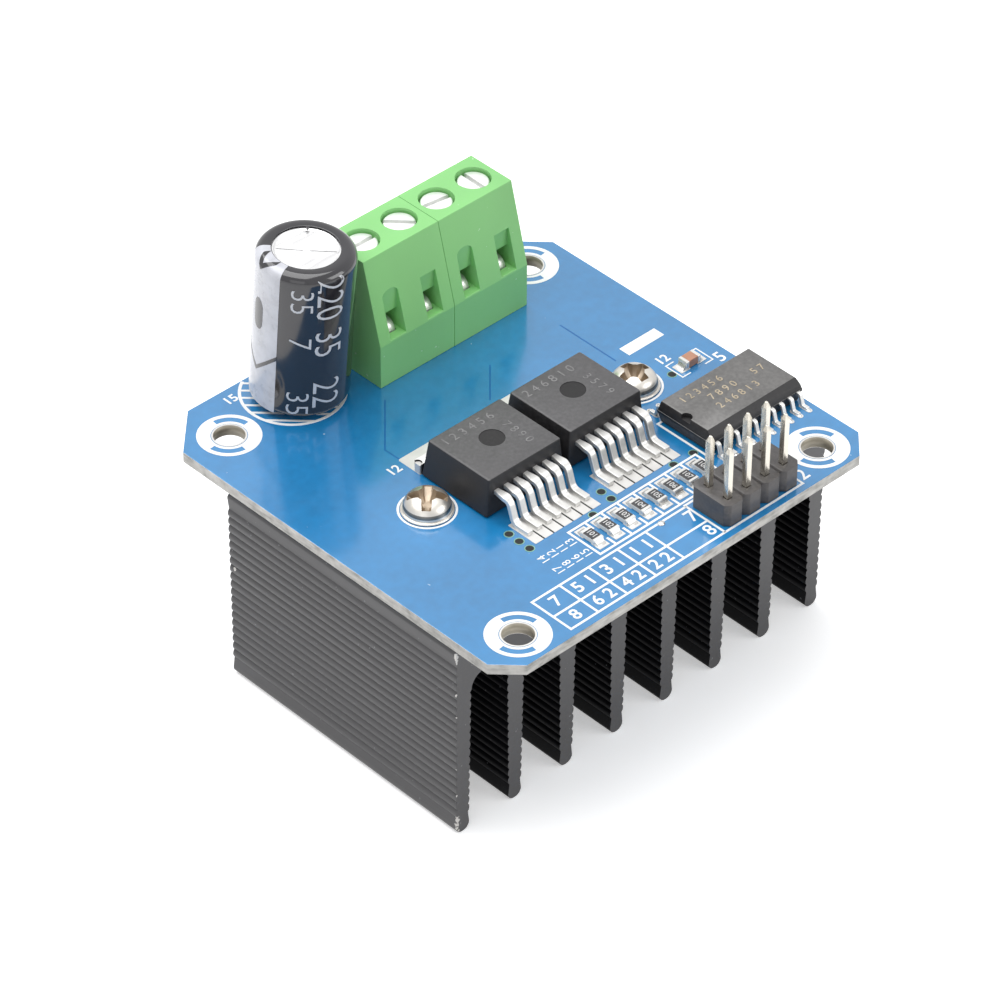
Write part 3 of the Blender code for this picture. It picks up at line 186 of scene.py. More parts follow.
def mark_edges(mesh, angle, crease):
    """Names the edges to round: those over the angle, and along X those over the crease angle."""
    builder = bmesh.new()
    builder.from_mesh(mesh)
    weights = builder.edges.layers.float.new("bevel_weight_edge")
    for edge in builder.edges:
        if len(edge.link_faces) == 2:
            turn = math.degrees(edge.calc_face_angle())
            span = edge.verts[0].co - edge.verts[1].co
            if turn > angle or (turn > crease and abs(span.normalized().x) > 0.999):
                edge[weights] = 1.0
    builder.to_mesh(mesh)
    builder.free()


def soften(item, width, segments=2, angle=35.0, crease=None):
    """Rounds the edges of an object that has flat faces."""
    item.data.shade_smooth()
    bevel = item.modifiers.new("edges", "BEVEL")
    bevel.width = width * MM
    bevel.segments = segments
    bevel.limit_method = "ANGLE"
    bevel.angle_limit = math.radians(angle)
    bevel.harden_normals = True
    if crease is not None:
        mark_edges(item.data, angle, crease)
        bevel.limit_method = "WEIGHT"
        normals = item.modifiers.new("normals", "WEIGHTED_NORMAL")
        normals.weight = 100
        normals.keep_sharp = True
    apply_modifiers(item)


def refined(node, materials, width, segments=2, body=MODULE, angle=35.0, crease=None):
    """A node's own shape, its flat faces joined up and its edges rounded."""
    builder = bmesh.new()
    builder.from_mesh(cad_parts[node].data)
    bmesh.ops.scale(builder, vec=(1 / MM,) * 3, verts=builder.verts)
    bmesh.ops.remove_doubles(builder, verts=builder.verts, dist=0.002)
    bmesh.ops.dissolve_limit(
        builder, angle_limit=math.radians(1.0), verts=builder.verts, edges=builder.edges
    )
    made = piece(node + "_finish", builder, materials, body=body, nodes=(node,))
    soften(made, width, segments, angle, crease)
    return made


# Outlines, lists of (x, y)
def circle(centre, radius, sides=32):
    turn = 2 * math.pi / sides
    return [
        (centre[0] + radius * math.cos(i * turn), centre[1] + radius * math.sin(i * turn))
        for i in range(sides)
    ]


def arc(centre, radius, start, end, steps):
    points = []
    for i in range(steps + 1):
        angle = math.radians(start + (end - start) * i / steps)
        points.append((centre[0] + radius * math.cos(angle), centre[1] + radius * math.sin(angle)))
    return points


def rectangle(x0, x1, y0, y1):
    return [(x0, y0), (x1, y0), (x1, y1), (x0, y1)]


def rounded(x0, x1, y0, y1, radius, steps=4):
    """A rectangle with round corners, counter-clockwise."""
    corners = (
        (x1 - radius, y0 + radius, -90), (x1 - radius, y1 - radius, 0),
        (x0 + radius, y1 - radius, 90), (x0 + radius, y0 + radius, 180),
    )
    points = []
    for x, y, start in corners:
        points += arc((x, y), radius, start, start + 90, steps)
    return points


def turned_about(centre, points, degrees):
    """Points round the origin, turned and then moved to a centre."""
    turn = Matrix.Rotation(math.radians(degrees), 2)
    return [tuple(Vector(centre) + turn @ Vector(point)) for point in points]


def smooth_bend(path, radius, steps):
    """A path of (y, z) points whose inner corners are rounded."""
    points = [path[0]]
    for before, corner, after in zip(path, path[1:], path[2:]):
        into = (Vector(corner) - Vector(before)).normalized()
        out = (Vector(after) - Vector(corner)).normalized()
        trim = radius * math.tan(into.angle(out) / 2)
        first, last = Vector(corner) - into * trim, Vector(corner) + out * trim
        for i in range(steps + 1):
            t = i / steps
            point = first * (1 - t) ** 2 + Vector(corner) * 2 * t * (1 - t) + last * t ** 2
            points.append(tuple(point))
    points.append(path[-1])
    return points


# Solid shapes, added to a mesh
def bridge(builder, rings, closed=False, slot=0):
    """Joins rings of vertices into a tube, capped unless it closes on itself."""
    pairs = list(zip(rings, rings[1:]))
    if closed:
        pairs.append((rings[-1], rings[0]))
    faces = []
    for lower, upper in pairs:
        for i in range(len(lower)):
            j = (i + 1) % len(lower)
            faces.append(builder.faces.new((lower[i], lower[j], upper[j], upper[i])))
    if not closed:
        faces += [builder.faces.new(rings[0]), builder.faces.new(rings[-1])]
    for face in faces:
        face.material_index = slot


def add_tapered(builder, outlines, slot=0, closed=False):
    """Outlines of equal length, each with its level."""
    rings = []
    for outline, level in outlines:
        rings.append([builder.verts.new((x, y, level)) for x, y in outline])
    bridge(builder, rings, closed, slot)


def add_prism(builder, outline, low, high, slot=0):
    add_tapered(builder, [(outline, low), (outline, high)], slot)


def add_turned(builder, profile, centre, sides, closed=False):
    """A profile of (radius, level) points turned round a vertical axis."""
    outlines = [(circle(centre, radius, sides), level) for radius, level in profile]
    add_tapered(builder, outlines, closed=closed)


def add_mound(builder, x, y, half_x, half_y, height, base=TOP):
    """A low cushion of solder."""
    rings, sides = 4, 16
    levels = []
    for i in range(rings + 1):
        angle = math.pi / 2 * i / (rings + 0.6)
        share = math.cos(angle)
        outline = [
            (x + half_x * share * math.cos(t), y + half_y * share * math.sin(t))
            for t in (2 * math.pi * k / sides for k in range(sides))
        ]
        levels.append((outline, base + height * math.sin(angle)))
    add_tapered(builder, levels)


def add_mesh(builder, mesh, slot=0):
    first = len(builder.faces)
    builder.from_mesh(mesh)
    builder.faces.ensure_lookup_table()
    for face in builder.faces[first:]:
        face.material_index = slot
    bpy.data.meshes.remove(mesh)


def filled(curve, matrix):
    """The mesh of a curve or text, moved by a matrix."""
    holder = linked("holder", curve)
    mesh = evaluated_mesh(holder)
    bpy.data.objects.remove(holder, do_unlink=True)
    bpy.data.curves.remove(curve)
    mesh.transform(matrix)
    return mesh


def add_plate(builder, loops, low, high):
    """A flat plate between two levels; each loop is an outer edge or a hole in one."""
    curve = bpy.data.curves.new("plate", "CURVE")
    curve.dimensions = "2D"
    curve.fill_mode = "BOTH"
    curve.extrude = (high - low) / 2
    for loop in loops:
        spline = curve.splines.new("POLY")
        spline.points.add(len(loop) - 1)
        for point, (x, y) in zip(spline.points, loop):
            point.co = (x, y, 0.0, 1.0)
        spline.use_cyclic_u = True
    add_mesh(builder, filled(curve, Matrix.Translation((0, 0, (low + high) / 2))))


def add_ring(builder, centre, outer, inner, low, high, sides):
    add_plate(builder, [circle(centre, outer, sides), circle(centre, inner, sides)], low, high)


def print_mesh(text, height, matrix, depth, squeeze=1.0, weight=0.0):
    """Numbers from the built-in font, centred on the matrix's origin."""
    digit_share = 0.7        # of the font's own size
    curve = bpy.data.curves.new("print", "FONT")
    curve.body = text
    curve.size = height / digit_share
    curve.align_x = "CENTER"
    curve.align_y = "CENTER"
    curve.extrude = depth / 2
    curve.offset = weight
    curve.resolution_u = 3
    return filled(curve, matrix @ Matrix.Diagonal((squeeze, 1, 1, 1)))


def add_print(builder, text, height, place, turn=0.0, level=INK, slot=0, squeeze=1.0, weight=0.0):
    depth = 0.03
    matrix = Matrix.Translation((place[0], place[1], level - depth / 2))
    matrix = matrix @ Matrix.Rotation(math.radians(turn), 4, "Z")
    add_mesh(builder, print_mesh(text, height, matrix, depth, squeeze, weight), slot)


def add_stroke(builder, points, width, high=INK, closed=False):
    """A band of ink along a path on the board, its corners mitred."""
    places = [Vector(point) for point in points]
    ahead = [(after - here).normalized() for here, after in zip(places, places[1:] + places[:1])]
    rings = []
    for i, here in enumerate(places):
        into = ahead[i - 1] if closed or i > 0 else ahead[0]
        out = ahead[i] if closed or i < len(places) - 1 else into
        across = Vector((-(into.y + out.y), into.x + out.x)).normalized()
        reach = width / 2 / max(across.dot(Vector((-into.y, into.x))), 0.3)
        left, right = here + across * reach, here - across * reach
        corners = ((left, TOP), (right, TOP), (right, high), (left, high))
        rings.append([builder.verts.new((p.x, p.y, level)) for p, level in corners])
    bridge(builder, rings, closed)


def add_strip(builder, path, widths, thickness, x_centre):
    """Sweeps a flat strip along a path of (y, z) points, its width along X."""
    rings = []
    for i in range(len(path)):
        here = Vector(path[i])
        before = Vector(path[max(i - 1, 0)])
        after = Vector(path[min(i + 1, len(path) - 1)])
        along = (after - before).normalized()
        normal = Vector((-along.y, along.x)) * thickness / 2
        half = widths[i] / 2
        corners = ((-half, normal), (half, normal), (half, -normal), (-half, -normal))
        rings.append(
            [builder.verts.new((x_centre + x, here.x + n.x, here.y + n.y)) for x, n in corners]
        )
    bridge(builder, rings)


# Materials
def add_node(tree, kind, inputs, **values):
    """A shader node; each input is a number, a vector, a colour or another node's output."""
    node = tree.nodes.new("ShaderNode" + kind)
    for key, value in values.items():
        setattr(node, key, value)
    for socket, value in inputs.items():
        if isinstance(value, bpy.types.NodeSocket):
            tree.links.new(value, node.inputs[socket])
        else:
            node.inputs[socket].default_value = value
    return node


def shade(colour, factor):
    return tuple(min(1.0, channel * factor) for channel in colour)


class Nodes:
    """A material's nodes, with short calls for the ones used here."""

    def __init__(self, name, colour, roughness, metallic=0.0, sockets=None):
        self.material = bpy.data.materials.new(name)
        self.material.use_nodes = True
        self.tree = self.material.node_tree
        self.shader = self.tree.nodes["Principled BSDF"]
        values = {"Base Color": (*colour, 1.0), "Roughness": roughness, "Metallic": metallic}
        for socket, value in {**values, **(sockets or {})}.items():
            self.shader.inputs[socket].default_value = value
        self.coordinates = add_node(self.tree, "TexCoord", {}).outputs["Object"]

    def set(self, socket, value):
        self.tree.links.new(value, self.shader.inputs[socket])

    def noise(self, scale, detail=3.0, stretch=(1, 1, 1), shift=(0, 0, 0)):
        values = {"Vector": self.coordinates, "Scale": stretch, "Location": shift}
        mapping = add_node(self.tree, "Mapping", values)
        values = {"Vector": mapping.outputs["Vector"], "Scale": scale, "Detail": detail}
        return add_node(self.tree, "TexNoise", values).outputs["Fac"]

    def ramp(self, value, stops):
        node = add_node(self.tree, "ValToRGB", {"Fac": value})
        elements = node.color_ramp.elements
        while len(elements) < len(stops):
            elements.new(0.5)
        for element, (position, colour) in zip(elements, stops):
            element.position = position
            element.color = (*colour, 1.0)
        return node.outputs["Color"]

    def tones(self, value, colour, low, dark, high, bright):
        """The colour, times dark where the value is low and times bright where it is high."""
        stops = ((low, shade(colour, dark)), (0.5, colour), (high, shade(colour, bright)))
        return self.ramp(value, stops)

    def between(self, value, low, high):
        """A number that goes from low to high over a noise's middle range."""
        values = {"Value": value, "From Min": 0.3, "From Max": 0.7, "To Min": low, "To Max": high}
        return add_node(self.tree, "MapRange", values).outputs["Result"]

    def mix(self, factor, base, colour):
        values = {0: factor, 6: base, 7: (*colour, 1.0)}
        return add_node(self.tree, "Mix", values, data_type="RGBA").outputs[2]

    def specks(self, base, colour, scale, detail, shift, low, high):
        """Sparse specks of a colour, where a noise rises from low to high."""
        spots = self.noise(scale, detail, shift=shift)
        return self.mix(self.ramp(spots, ((low, (0, 0, 0)), (high, (1, 1, 1)))), base, colour)

    def maths(self, operation, first, second):
        return add_node(self.tree, "Math", {0: first, 1: second}, operation=operation).outputs["Value"]

    def blend(self, first, second, share):
        """Two noises added up, the first with its share and the second with the rest."""
        first = self.maths("MULTIPLY", first, share)
        return self.maths("ADD", first, self.maths("MULTIPLY", second, 1 - share))

    def bump(self, height, strength, distance):
        normal = self.shader.inputs["Normal"]
        values = {"Height": height, "Strength": strength, "Distance": distance * MM}
        if normal.is_linked:
            values["Normal"] = normal.links[0].from_socket
        self.set("Normal", add_node(self.tree, "Bump", values).outputs["Normal"])


def finish(name, colour, roughness, metallic=0.0, grain=900.0, tint=0.12, spread=0.06,
           bump=0.15, depth=0.02, cloud=70.0, sockets=None):
    """A surface with fine grain in its height and gloss and slow clouds in its colour."""
    made = Nodes(name, colour, roughness, metallic, sockets)
    fine = made.noise(grain, 4.0)
    blend = made.blend(fine, made.noise(cloud), 0.45)
    made.set("Base Color", made.tones(blend, colour, 0.3, 1 - tint, 0.7, 1 + tint))
    made.set("Roughness", made.between(fine, roughness - spread, roughness + spread))
    if bump:
        made.bump(fine, bump, depth)
    return made.material


def metal(name, colour, roughness, grain=1200.0, tint=0.1, bump=0.12, depth=0.015, share=1.0):
    """A finish whose metallic value is the share, and whose gloss varies with its roughness."""
    return finish(name, colour, roughness, share, grain, tint, roughness * 0.12, bump, depth)


# Where bare metal shows on the heatsink's near corner: (x, height, radius) on its front face,
# and one place on its left side
KNOCKS = [(x, HEATSINK_LOW.y, z, radius) for x, z, radius in (
    (-25.0, 22.75, 0.5), (-24.95, 22.45, 0.55), (-24.98, 22.1, 0.45), (-25.0, 21.75, 0.35),
    (-25.0, 21.3, 0.25), (-25.0, 17.8, 0.3), (-25.0, 15.0, 0.25), (-24.98, 12.2, 0.22),
    (-25.0, 8.4, 0.22), (-24.95, 5.0, 0.25), (-24.9, 2.05, 0.5), (-24.8, 1.75, 0.5),
    (-24.85, 1.2, 0.45), (-24.9, 0.8, 0.35), (-24.7, 0.35, 0.3), (-21.0, 9.0, 0.25),
)]
KNOCKS.append((-25.0, 13.3, 13.9, 0.35))


def anodised(name, colour, ior):
    """Black anodising: fine die lines along the extrusion, bare metal where a corner was knocked."""
    made = Nodes(name, colour, 0.4, sockets={"IOR": ior})
    lines = made.noise(2600.0, 3.0, (1, 0.02, 1))
    slow = made.noise(120.0, 4.0, (1, 0.25, 1))
    base = made.tones(made.blend(lines, slow, 0.5), colour, 0.35, 0.8, 0.68, 1.3)
    base = made.specks(base, (0.16, 0.16, 0.17), 1900.0, 2.0, (3, 1, 2), 0.73, 0.78)
    ragged = made.noise(5200.0, 4.0)
    bare = 0.0
    for *place, radius in KNOCKS:
        values = {0: made.coordinates, 1: Vector(place) * MM}
        distance = add_node(made.tree, "VectorMath", values, operation="DISTANCE").outputs["Value"]
        inside = made.maths("LESS_THAN", distance, made.maths("MULTIPLY", ragged, radius * MM))
        bare = made.maths("MAXIMUM", bare, inside)
    made.set("Base Color", made.mix(bare, base, (0.62, 0.6, 0.57)))
    made.set("Roughness", made.between(slow, 0.36, 0.5))
    made.bump(lines, 0.25, 0.02)
    made.bump(made.noise(1500.0, 4.0), 0.12, 0.015)
    return made.material


def solder_mask():
    """Blue varnish with a clear gloss, faintly woven, with a few grains of dust."""
    colour = (0.009, 0.2, 0.47)
    gloss = {"IOR": 1.5, "Coat Weight": 1.0, "Coat Roughness": 0.13, "Coat IOR": 1.75}
    made = Nodes("solder_mask", colour, 0.25, sockets=gloss)
    slow = made.noise(60.0)
    weave = made.noise(900.0, 2.0)
    base = made.tones(made.blend(slow, weave, 0.7), colour, 0.35, 0.86, 0.65, 1.14)
    made.set("Base Color", made.specks(base, (0.3, 0.48, 0.66), 1500.0, 1.0, (5, 2, 1), 0.82, 0.85))
    made.bump(slow, 0.25, 0.06)
    made.bump(weave, 0.04, 0.012)
    return made.material


def board_core():
    """The sawn glass-fibre edge of the board, mottled and with fine layers."""
    dark, colour, pale = (0.3, 0.3, 0.28), (0.53, 0.52, 0.495), (0.66, 0.65, 0.62)
    made = Nodes("board_core", colour, 0.7)
    layers = made.noise(700.0, 4.0, (0.7, 0.7, 4.0))
    mottle = made.noise(900.0, 5.0)
    stops = ((0.34, dark), (0.5, colour), (0.64, pale))
    made.set("Base Color", made.ramp(made.blend(layers, mottle, 0.5), stops))
    made.bump(mottle, 0.5, 0.06)
    return made.material


def moulded_plastic():
    """Green housing plastic: soft sheen, faint flow marks and a few bright specks."""
    colour = (0.25, 0.6, 0.21)
    depth = {"Weight": 0.08, "Radius": (0.6, 1.0, 0.4), "Scale": 0.6 * MM}
    sockets = {"Subsurface " + key: value for key, value in depth.items()}
    made = Nodes("green_plastic_finish", colour, 0.42, sockets=sockets)
    fine = made.noise(1400.0)
    slow = made.noise(90.0, 3.0, (1, 1, 0.5))
    base = made.tones(slow, colour, 0.3, 0.93, 0.7, 1.07)
    made.set("Base Color", made.specks(base, (0.6, 0.8, 0.55), 1700.0, 1.0, (2, 6, 3), 0.77, 0.8))
    made.set("Roughness", made.between(fine, 0.36, 0.5))
    made.bump(slow, 0.12, 0.05)
    made.bump(fine, 0.06, 0.01)
    return made.material


def chip_plastic(name, colour, roughness, ior):
    """Filled epoxy: a matt, speckled moulding."""
    made = Nodes(name, colour, roughness, sockets={"IOR": ior})
    fine = made.noise(2600.0, 5.0)
    blend = made.blend(fine, made.noise(160.0), 0.6)
    made.set("Base Color", made.tones(blend, colour, 0.34, 0.66, 0.62, 1.4))
    made.set("Roughness", made.between(fine, roughness - 0.08, roughness + 0.08))
    made.bump(fine, 0.35, 0.02)
    return made.material


def can_top_metal():
    """Pressed aluminium with brush lines across it."""
    colour = (0.8, 0.8, 0.805)
    made = Nodes("aluminium_finish", colour, 0.3, 1.0)
    lines = made.noise(2200.0, 3.0, (0.06, 1, 1))
    stops = ((0.35, shade(colour, 0.9)), (0.65, shade(colour, 1.12)))
    made.set("Base Color", made.ramp(made.noise(200.0), stops))
    made.set("Roughness", made.between(lines, 0.2, 0.42))
    made.bump(lines, 0.2, 0.01)
    return made.material


ANODISED = anodised("anodised_black_finish", (0.021, 0.02, 0.0225), 1.68)
# The channel copy is darker and reflects less: painted shade for the faces between the fins.
CHANNEL_SHADE = anodised("anodised_channel_painted_shade", (0.0048, 0.0048, 0.006), 1.15)
MASK = solder_mask()
CORE = board_core()
GREEN = moulded_plastic()
ALUMINIUM = can_top_metal()
CHIP = chip_plastic("chip_black_finish", (0.048, 0.046, 0.049), 0.46, 1.72)
CHIP_MARK = chip_plastic("chip_mark_finish", (0.024, 0.023, 0.024), 0.75, 1.4)
# A darker copy of the chip plastic for side faces, chamfers and notches: painted shade.
CHIP_SIDE_SHADE = chip_plastic("chip_side_painted_shade", (0.016, 0.015, 0.016), 0.52, 1.45)
CHIP_GREY = chip_plastic("logic_black_finish", (0.085, 0.082, 0.079), 0.44, 1.85)
HEADER = chip_plastic("header_black_finish", (0.056, 0.051, 0.051), 0.42, 1.6)
PLATED = metal("plated_barrel", (0.33, 0.3, 0.24), 0.45, 900.0, 0.35, 0.4, 0.05, 0.4)
PAD = metal("tinned_pad", (0.66, 0.65, 0.63), 0.5, 900.0, 0.1, 0.25, 0.03, 0.4)
SOLDER = metal("solder", (0.66, 0.655, 0.64), 0.25, 700.0, 0.12, 0.2, 0.03, 0.8)
TINNED = metal("tinned_finish", (0.72, 0.715, 0.695), 0.36, 2600.0, 0.06, 0.04, 0.005, 0.65)
NICKEL = metal("nickel_finish", (0.68, 0.65, 0.6), 0.33, 500.0, 0.3, 0.3, 0.07, 0.85)
# A darker nickel for a band round the lower dome of the screw head: painted dark reflection.
NICKEL_FOOT_REFLECTION = metal("nickel_foot_painted_reflection", (0.2, 0.195, 0.18), 0.3, 700.0, 0.6, 0.4, 0.06)
# A darker, browner nickel for the walls of the cross recess: painted shade.
RECESS_SHADE = metal("recess_nickel_painted_shade", (0.42, 0.35, 0.275), 0.5, 900.0, 0.5, 0.5, 0.06)
ZINC = metal("zinc_finish", (0.93, 0.935, 0.925), 0.34, 2600.0, 0.06, 0.05, 0.006, 0.6)
SLOT_METAL = metal("slot_zinc", (0.9, 0.9, 0.89), 0.4, 2600.0, 0.2, 0.2, 0.01, 0.4)
PIN_METAL = metal("pin_metal_finish", (0.7, 0.665, 0.59), 0.26, 500.0, 0.06, 0.0)
# A dark aluminium for the walls of the vent's score lines: painted shade.
SCORE_SHADE = metal("scored_aluminium_painted_shade", (0.3, 0.3, 0.31), 0.5)
SILK = finish("silkscreen", (0.87, 0.875, 0.87), 0.55, grain=1300.0, tint=0.06, cloud=400.0)
DARK_MASK = finish("mask_over_copper_gap", (0.007, 0.12, 0.35), 0.2, bump=0)
RIM = finish("via_rim", (0.22, 0.42, 0.33), 0.35, 0.4, tint=0.2)
# Near black for the via holes and for under the drivers' leads: painted shade.
HOLE_AND_LEAD_SHADE = finish("painted_hole_and_lead_shade", (0.01, 0.012, 0.012), 0.8, tint=0.2)
SLEEVE = finish("sleeve_black_finish", (0.018, 0.017, 0.022), 0.13, grain=420.0, tint=0.2, spread=0.05,
                bump=0.1, depth=0.03, cloud=150.0, sockets={"Coat Weight": 0.6, "Coat Roughness": 0.1})
STRIPE = finish("sleeve_stripe", (0.58, 0.59, 0.64), 0.3, tint=0.2, bump=0.1, cloud=260.0,
                sockets={"Coat Weight": 0.5, "Coat Roughness": 0.12})
SLEEVE_PRINT = finish("sleeve_print", (0.64, 0.65, 0.68), 0.35, tint=0.1)
CHIP_PRINT = finish("laser_mark", (0.18, 0.177, 0.18), 0.6, grain=1800.0, tint=0.3, cloud=900.0)
LOGIC_PRINT = finish("logic_mark", (0.42, 0.35, 0.25), 0.6, grain=1800.0, tint=0.3, cloud=900.0)
THERMAL_PAD = finish("thermal_pad_finish", (0.1, 0.105, 0.11), 0.85, grain=700.0, tint=0.15)
RESISTOR_TOP = finish("resistor_black_finish", (0.025, 0.025, 0.03), 0.3, grain=1500.0, tint=0.25,
                      sockets={"Coat Weight": 0.5})
RESISTOR_PRINT = finish("resistor_mark", (0.75, 0.75, 0.74), 0.5, tint=0.05)
ALUMINA = finish("alumina", (0.75, 0.74, 0.7), 0.6, tint=0.08)
CERAMIC = finish("ceramic_brown_finish", (0.47, 0.235, 0.15), 0.42, grain=1600.0, tint=0.14)


# Camera, at the photograph's own place, found by matching the board's corners and holes
def make_camera():
    azimuth, elevation, roll = math.radians(-43.92), math.radians(39.48), 0.0064111
    distance, across, upward, lens = 485.844, -1.391, -6.097, 179.626
    level = Matrix.Rotation(azimuth, 4, "Z") @ Matrix.Rotation(math.pi / 2 - elevation, 4, "X")
    place = Vector((0, 0, TOP)) + level @ Vector((across, upward, distance))
    camera = linked("camera", bpy.data.cameras.new("camera"))
    camera.matrix_world = Matrix.Translation(place * MM) @ level @ Matrix.Rotation(roll, 4, "Z")
    camera.data.lens = lens
    camera.data.sensor_width = 36.0
    camera.data.clip_start = 0.01
    camera.data.clip_end = 20.0
    bpy.context.scene.camera = camera


# Studio
LIGHT_AIM = Vector((0, 0, 12))
LIGHTS = (
    ("key", (-60, 110, 460), (520, 520), 2.78),
    ("front_right", (240, -420, 260), (320, 260), 0.85),
    ("front_left", (-420, -240, 180), (260, 260), 0.12),
)
FLOOR_REACH = 3000.0
FLOOR_LEVEL = -0.02


def make_light(name, place, size, power):
    data = bpy.data.lights.new(name, "AREA")
    data.shape = "RECTANGLE"
    data.size, data.size_y = (value * MM for value in size)
    data.energy = power
    lamp = linked(name, data)
    lamp.location = Vector(place) * MM
    lamp.rotation_mode = "QUATERNION"
    lamp.rotation_quaternion = (LIGHT_AIM - Vector(place)).to_track_quat("-Z", "Y")


def where_seen(tree, soft, direct):
    """One shader for soft light, another for rays of the camera, of gloss and through glass."""
    path = add_node(tree, "LightPath", {}).outputs
    seen = path["Is Camera Ray"]
    for output in ("Is Glossy Ray", "Is Transmission Ray"):
        seen = add_node(tree, "Math", {0: seen, 1: path[output]}, operation="MAXIMUM").outputs["Value"]
    return add_node(tree, "MixShader", {"Fac": seen, 1: soft, 2: direct}).outputs["Shader"]


def make_world():
    world = bpy.data.worlds.new("studio")
    bpy.context.scene.world = world
    world.use_nodes = True
    tree = world.node_tree
    soft = tree.nodes["Background"]
    soft.inputs["Color"].default_value = (0.97, 0.98, 1.0, 1.0)
    soft.inputs["Strength"].default_value = 0.3
    white = {"Color": (1.0, 1.0, 1.0, 1.0), "Strength": 1.0}
    shown = add_node(tree, "Background", white).outputs["Background"]
    surface = where_seen(tree, soft.outputs["Background"], shown)
    tree.links.new(surface, tree.nodes["World Output"].inputs["Surface"])


def make_floor():
    """A white floor that keeps the shadow, with a glow that lights nothing else."""
    material = bpy.data.materials.new("floor")
    material.use_nodes = True
    tree = material.node_tree
    shader = tree.nodes["Principled BSDF"]
    shader.inputs["Base Color"].default_value = (0.9, 0.9, 0.9, 1.0)
    shader.inputs["Roughness"].default_value = 0.9
    shader.inputs["Specular IOR Level"].default_value = 0.0
    dark = add_node(tree, "Emission", {"Strength": 0.0}).outputs["Emission"]
    glow = add_node(tree, "Emission", {"Strength": 0.45}).outputs["Emission"]
    both = add_node(tree, "AddShader", {0: shader.outputs["BSDF"], 1: where_seen(tree, dark, glow)})
    tree.links.new(both.outputs["Shader"], tree.nodes["Material Output"].inputs["Surface"])
    builder = bmesh.new()
    corners = rectangle(-FLOOR_REACH, FLOOR_REACH, -FLOOR_REACH, FLOOR_REACH)
    builder.faces.new([builder.verts.new((x, y, FLOOR_LEVEL)) for x, y in corners])
    plain_object("floor", builder, [material])


# Circuit board
FRONT_CORNER_CUT = 2.6
BACK_CORNER_CUT = 4.6
FIXING_HOLE_RADIUS = 1.55
PIN_HOLE_RADIUS = 0.5
CONTACT_HOLE_RADIUS = 0.68
CAN_LEAD_HOLE_RADIUS = 0.4
SEAT_RING_RADIUS = 3.0
BARE_RING_RADIUS = 1.77


def board_outline():
    half, front, back = HALF_BOARD, FRONT_CORNER_CUT, BACK_CORNER_CUT
    return [
        (-half + front, -half), (half - front, -half), (half, -half + front), (half, half - back),
        (half - back, half), (-half + back, half), (-half, half - back), (-half, -half + front),
    ]


def build_board():
    loops = [board_outline()]
    for places, radius, sides in (
        (MOUNT_HOLES, MOUNT_HOLE_RADIUS, 48), (FIXINGS, FIXING_HOLE_RADIUS, 40),
        (pin_places(), PIN_HOLE_RADIUS, 20), (contact_places(), CONTACT_HOLE_RADIUS, 24),
        (can_lead_places(), CAN_LEAD_HOLE_RADIUS, 16),
    ):
        loops += [circle(place, radius, sides) for place in places]
    builder = bmesh.new()
    add_plate(builder, loops, UNDERSIDE, TOP)
    bmesh.ops.remove_doubles(builder, verts=builder.verts, dist=1e-4)
    rim = []
    for edge in builder.edges:
        a, b = (vertex.co for vertex in edge.verts)
        level = abs(a.z - b.z) < 1e-4
        outside = all(max(abs(p.x), abs(p.y)) > HALF_BOARD - 1e-3 for p in (a, b))
        on_side = len(edge.link_faces) == 2 and any(abs(f.normal.z) < 0.1 for f in edge.link_faces)
        if level and outside and on_side:
            rim.append(edge)
    bmesh.ops.bevel(builder, geom=rim, offset=0.05, segments=2, profile=0.5, affect="EDGES")
    builder.normal_update()
    for face in builder.faces:
        x, y = (abs(value) for value in face.calc_center_median().xy)
        edge = max(x, y) > HALF_BOARD - 0.02 or x + y > 2 * HALF_BOARD - BACK_CORNER_CUT - 0.1
        upright = abs(face.normal.z) <= 0.9
        face.material_index = (1 if edge else 2) if upright else 0
    piece("circuit_board_finish", builder, [MASK, CORE, PLATED], nodes=("circuit_board",))
    rings = bmesh.new()
    for place in MOUNT_HOLES:
        low = UNDERSIDE - SEAT_RING_HEIGHT
        add_ring(rings, place, SEAT_RING_RADIUS, MOUNT_HOLE_RADIUS, low, UNDERSIDE, 48)
        add_ring(rings, place, BARE_RING_RADIUS, MOUNT_HOLE_RADIUS, TOP, FOIL, 48)
    piece("mounting_rings", rings, [PAD])


# Bare pads, vias and solder
DRIVER_PAD_REAR = 5.2
DRIVER_PAD_FRONT = -13.05
DRIVER_LEADS = 7
VIAS = [
    (-10.57, -10.23), (-10.6, -11.67), (-10.6, -13.1), (-2.73, -13.67), (0.27, -11.73),
    (0.23, -13.13), (8.27, -13.6), (10.93, -13.63), (18.23, -3.5),
]
SOLDER_DROP = (1.07, -19.07)


def add_driver_pads(foil, solder, side):
    """The tab's pad with the solder in the tab's notches, and a pad for each lead."""
    low, high = box(f"driver_tab_{side}")
    rim, notch_radius, notch_reach, notch_height = 0.15, 0.375, 0.13, 1.08
    pad = rounded(low.x - rim, high.x + rim, high.y - 1.0, DRIVER_PAD_REAR, 0.2)
    add_prism(foil, pad, TOP, FOIL)
    notch_y = (box(f"driver_body_{side}")[1].y + 0.025 + high.y) / 2
    for edge, inward in ((low.x, 1), (high.x, -1)):
        outer = edge * inward - notch_reach
        notch = circle((edge, notch_y), notch_radius, 24)
        fill = [(max(x * inward, outer) * inward, y) for x, y in notch]
        add_prism(foil, fill, TOP, TOP + notch_height)
    for number in range(1, DRIVER_LEADS + 1):
        node = f"driver_lead_{side}_{number}"
        x, toe = middle(node).x, box(node)[0].y
        add_prism(foil, rounded(x - 0.54, x + 0.54, DRIVER_PAD_FRONT, toe + 2.5, 0.06), TOP, FOIL)
        add_mound(solder, x, toe + 0.75, 0.47, 1.1, 0.08)


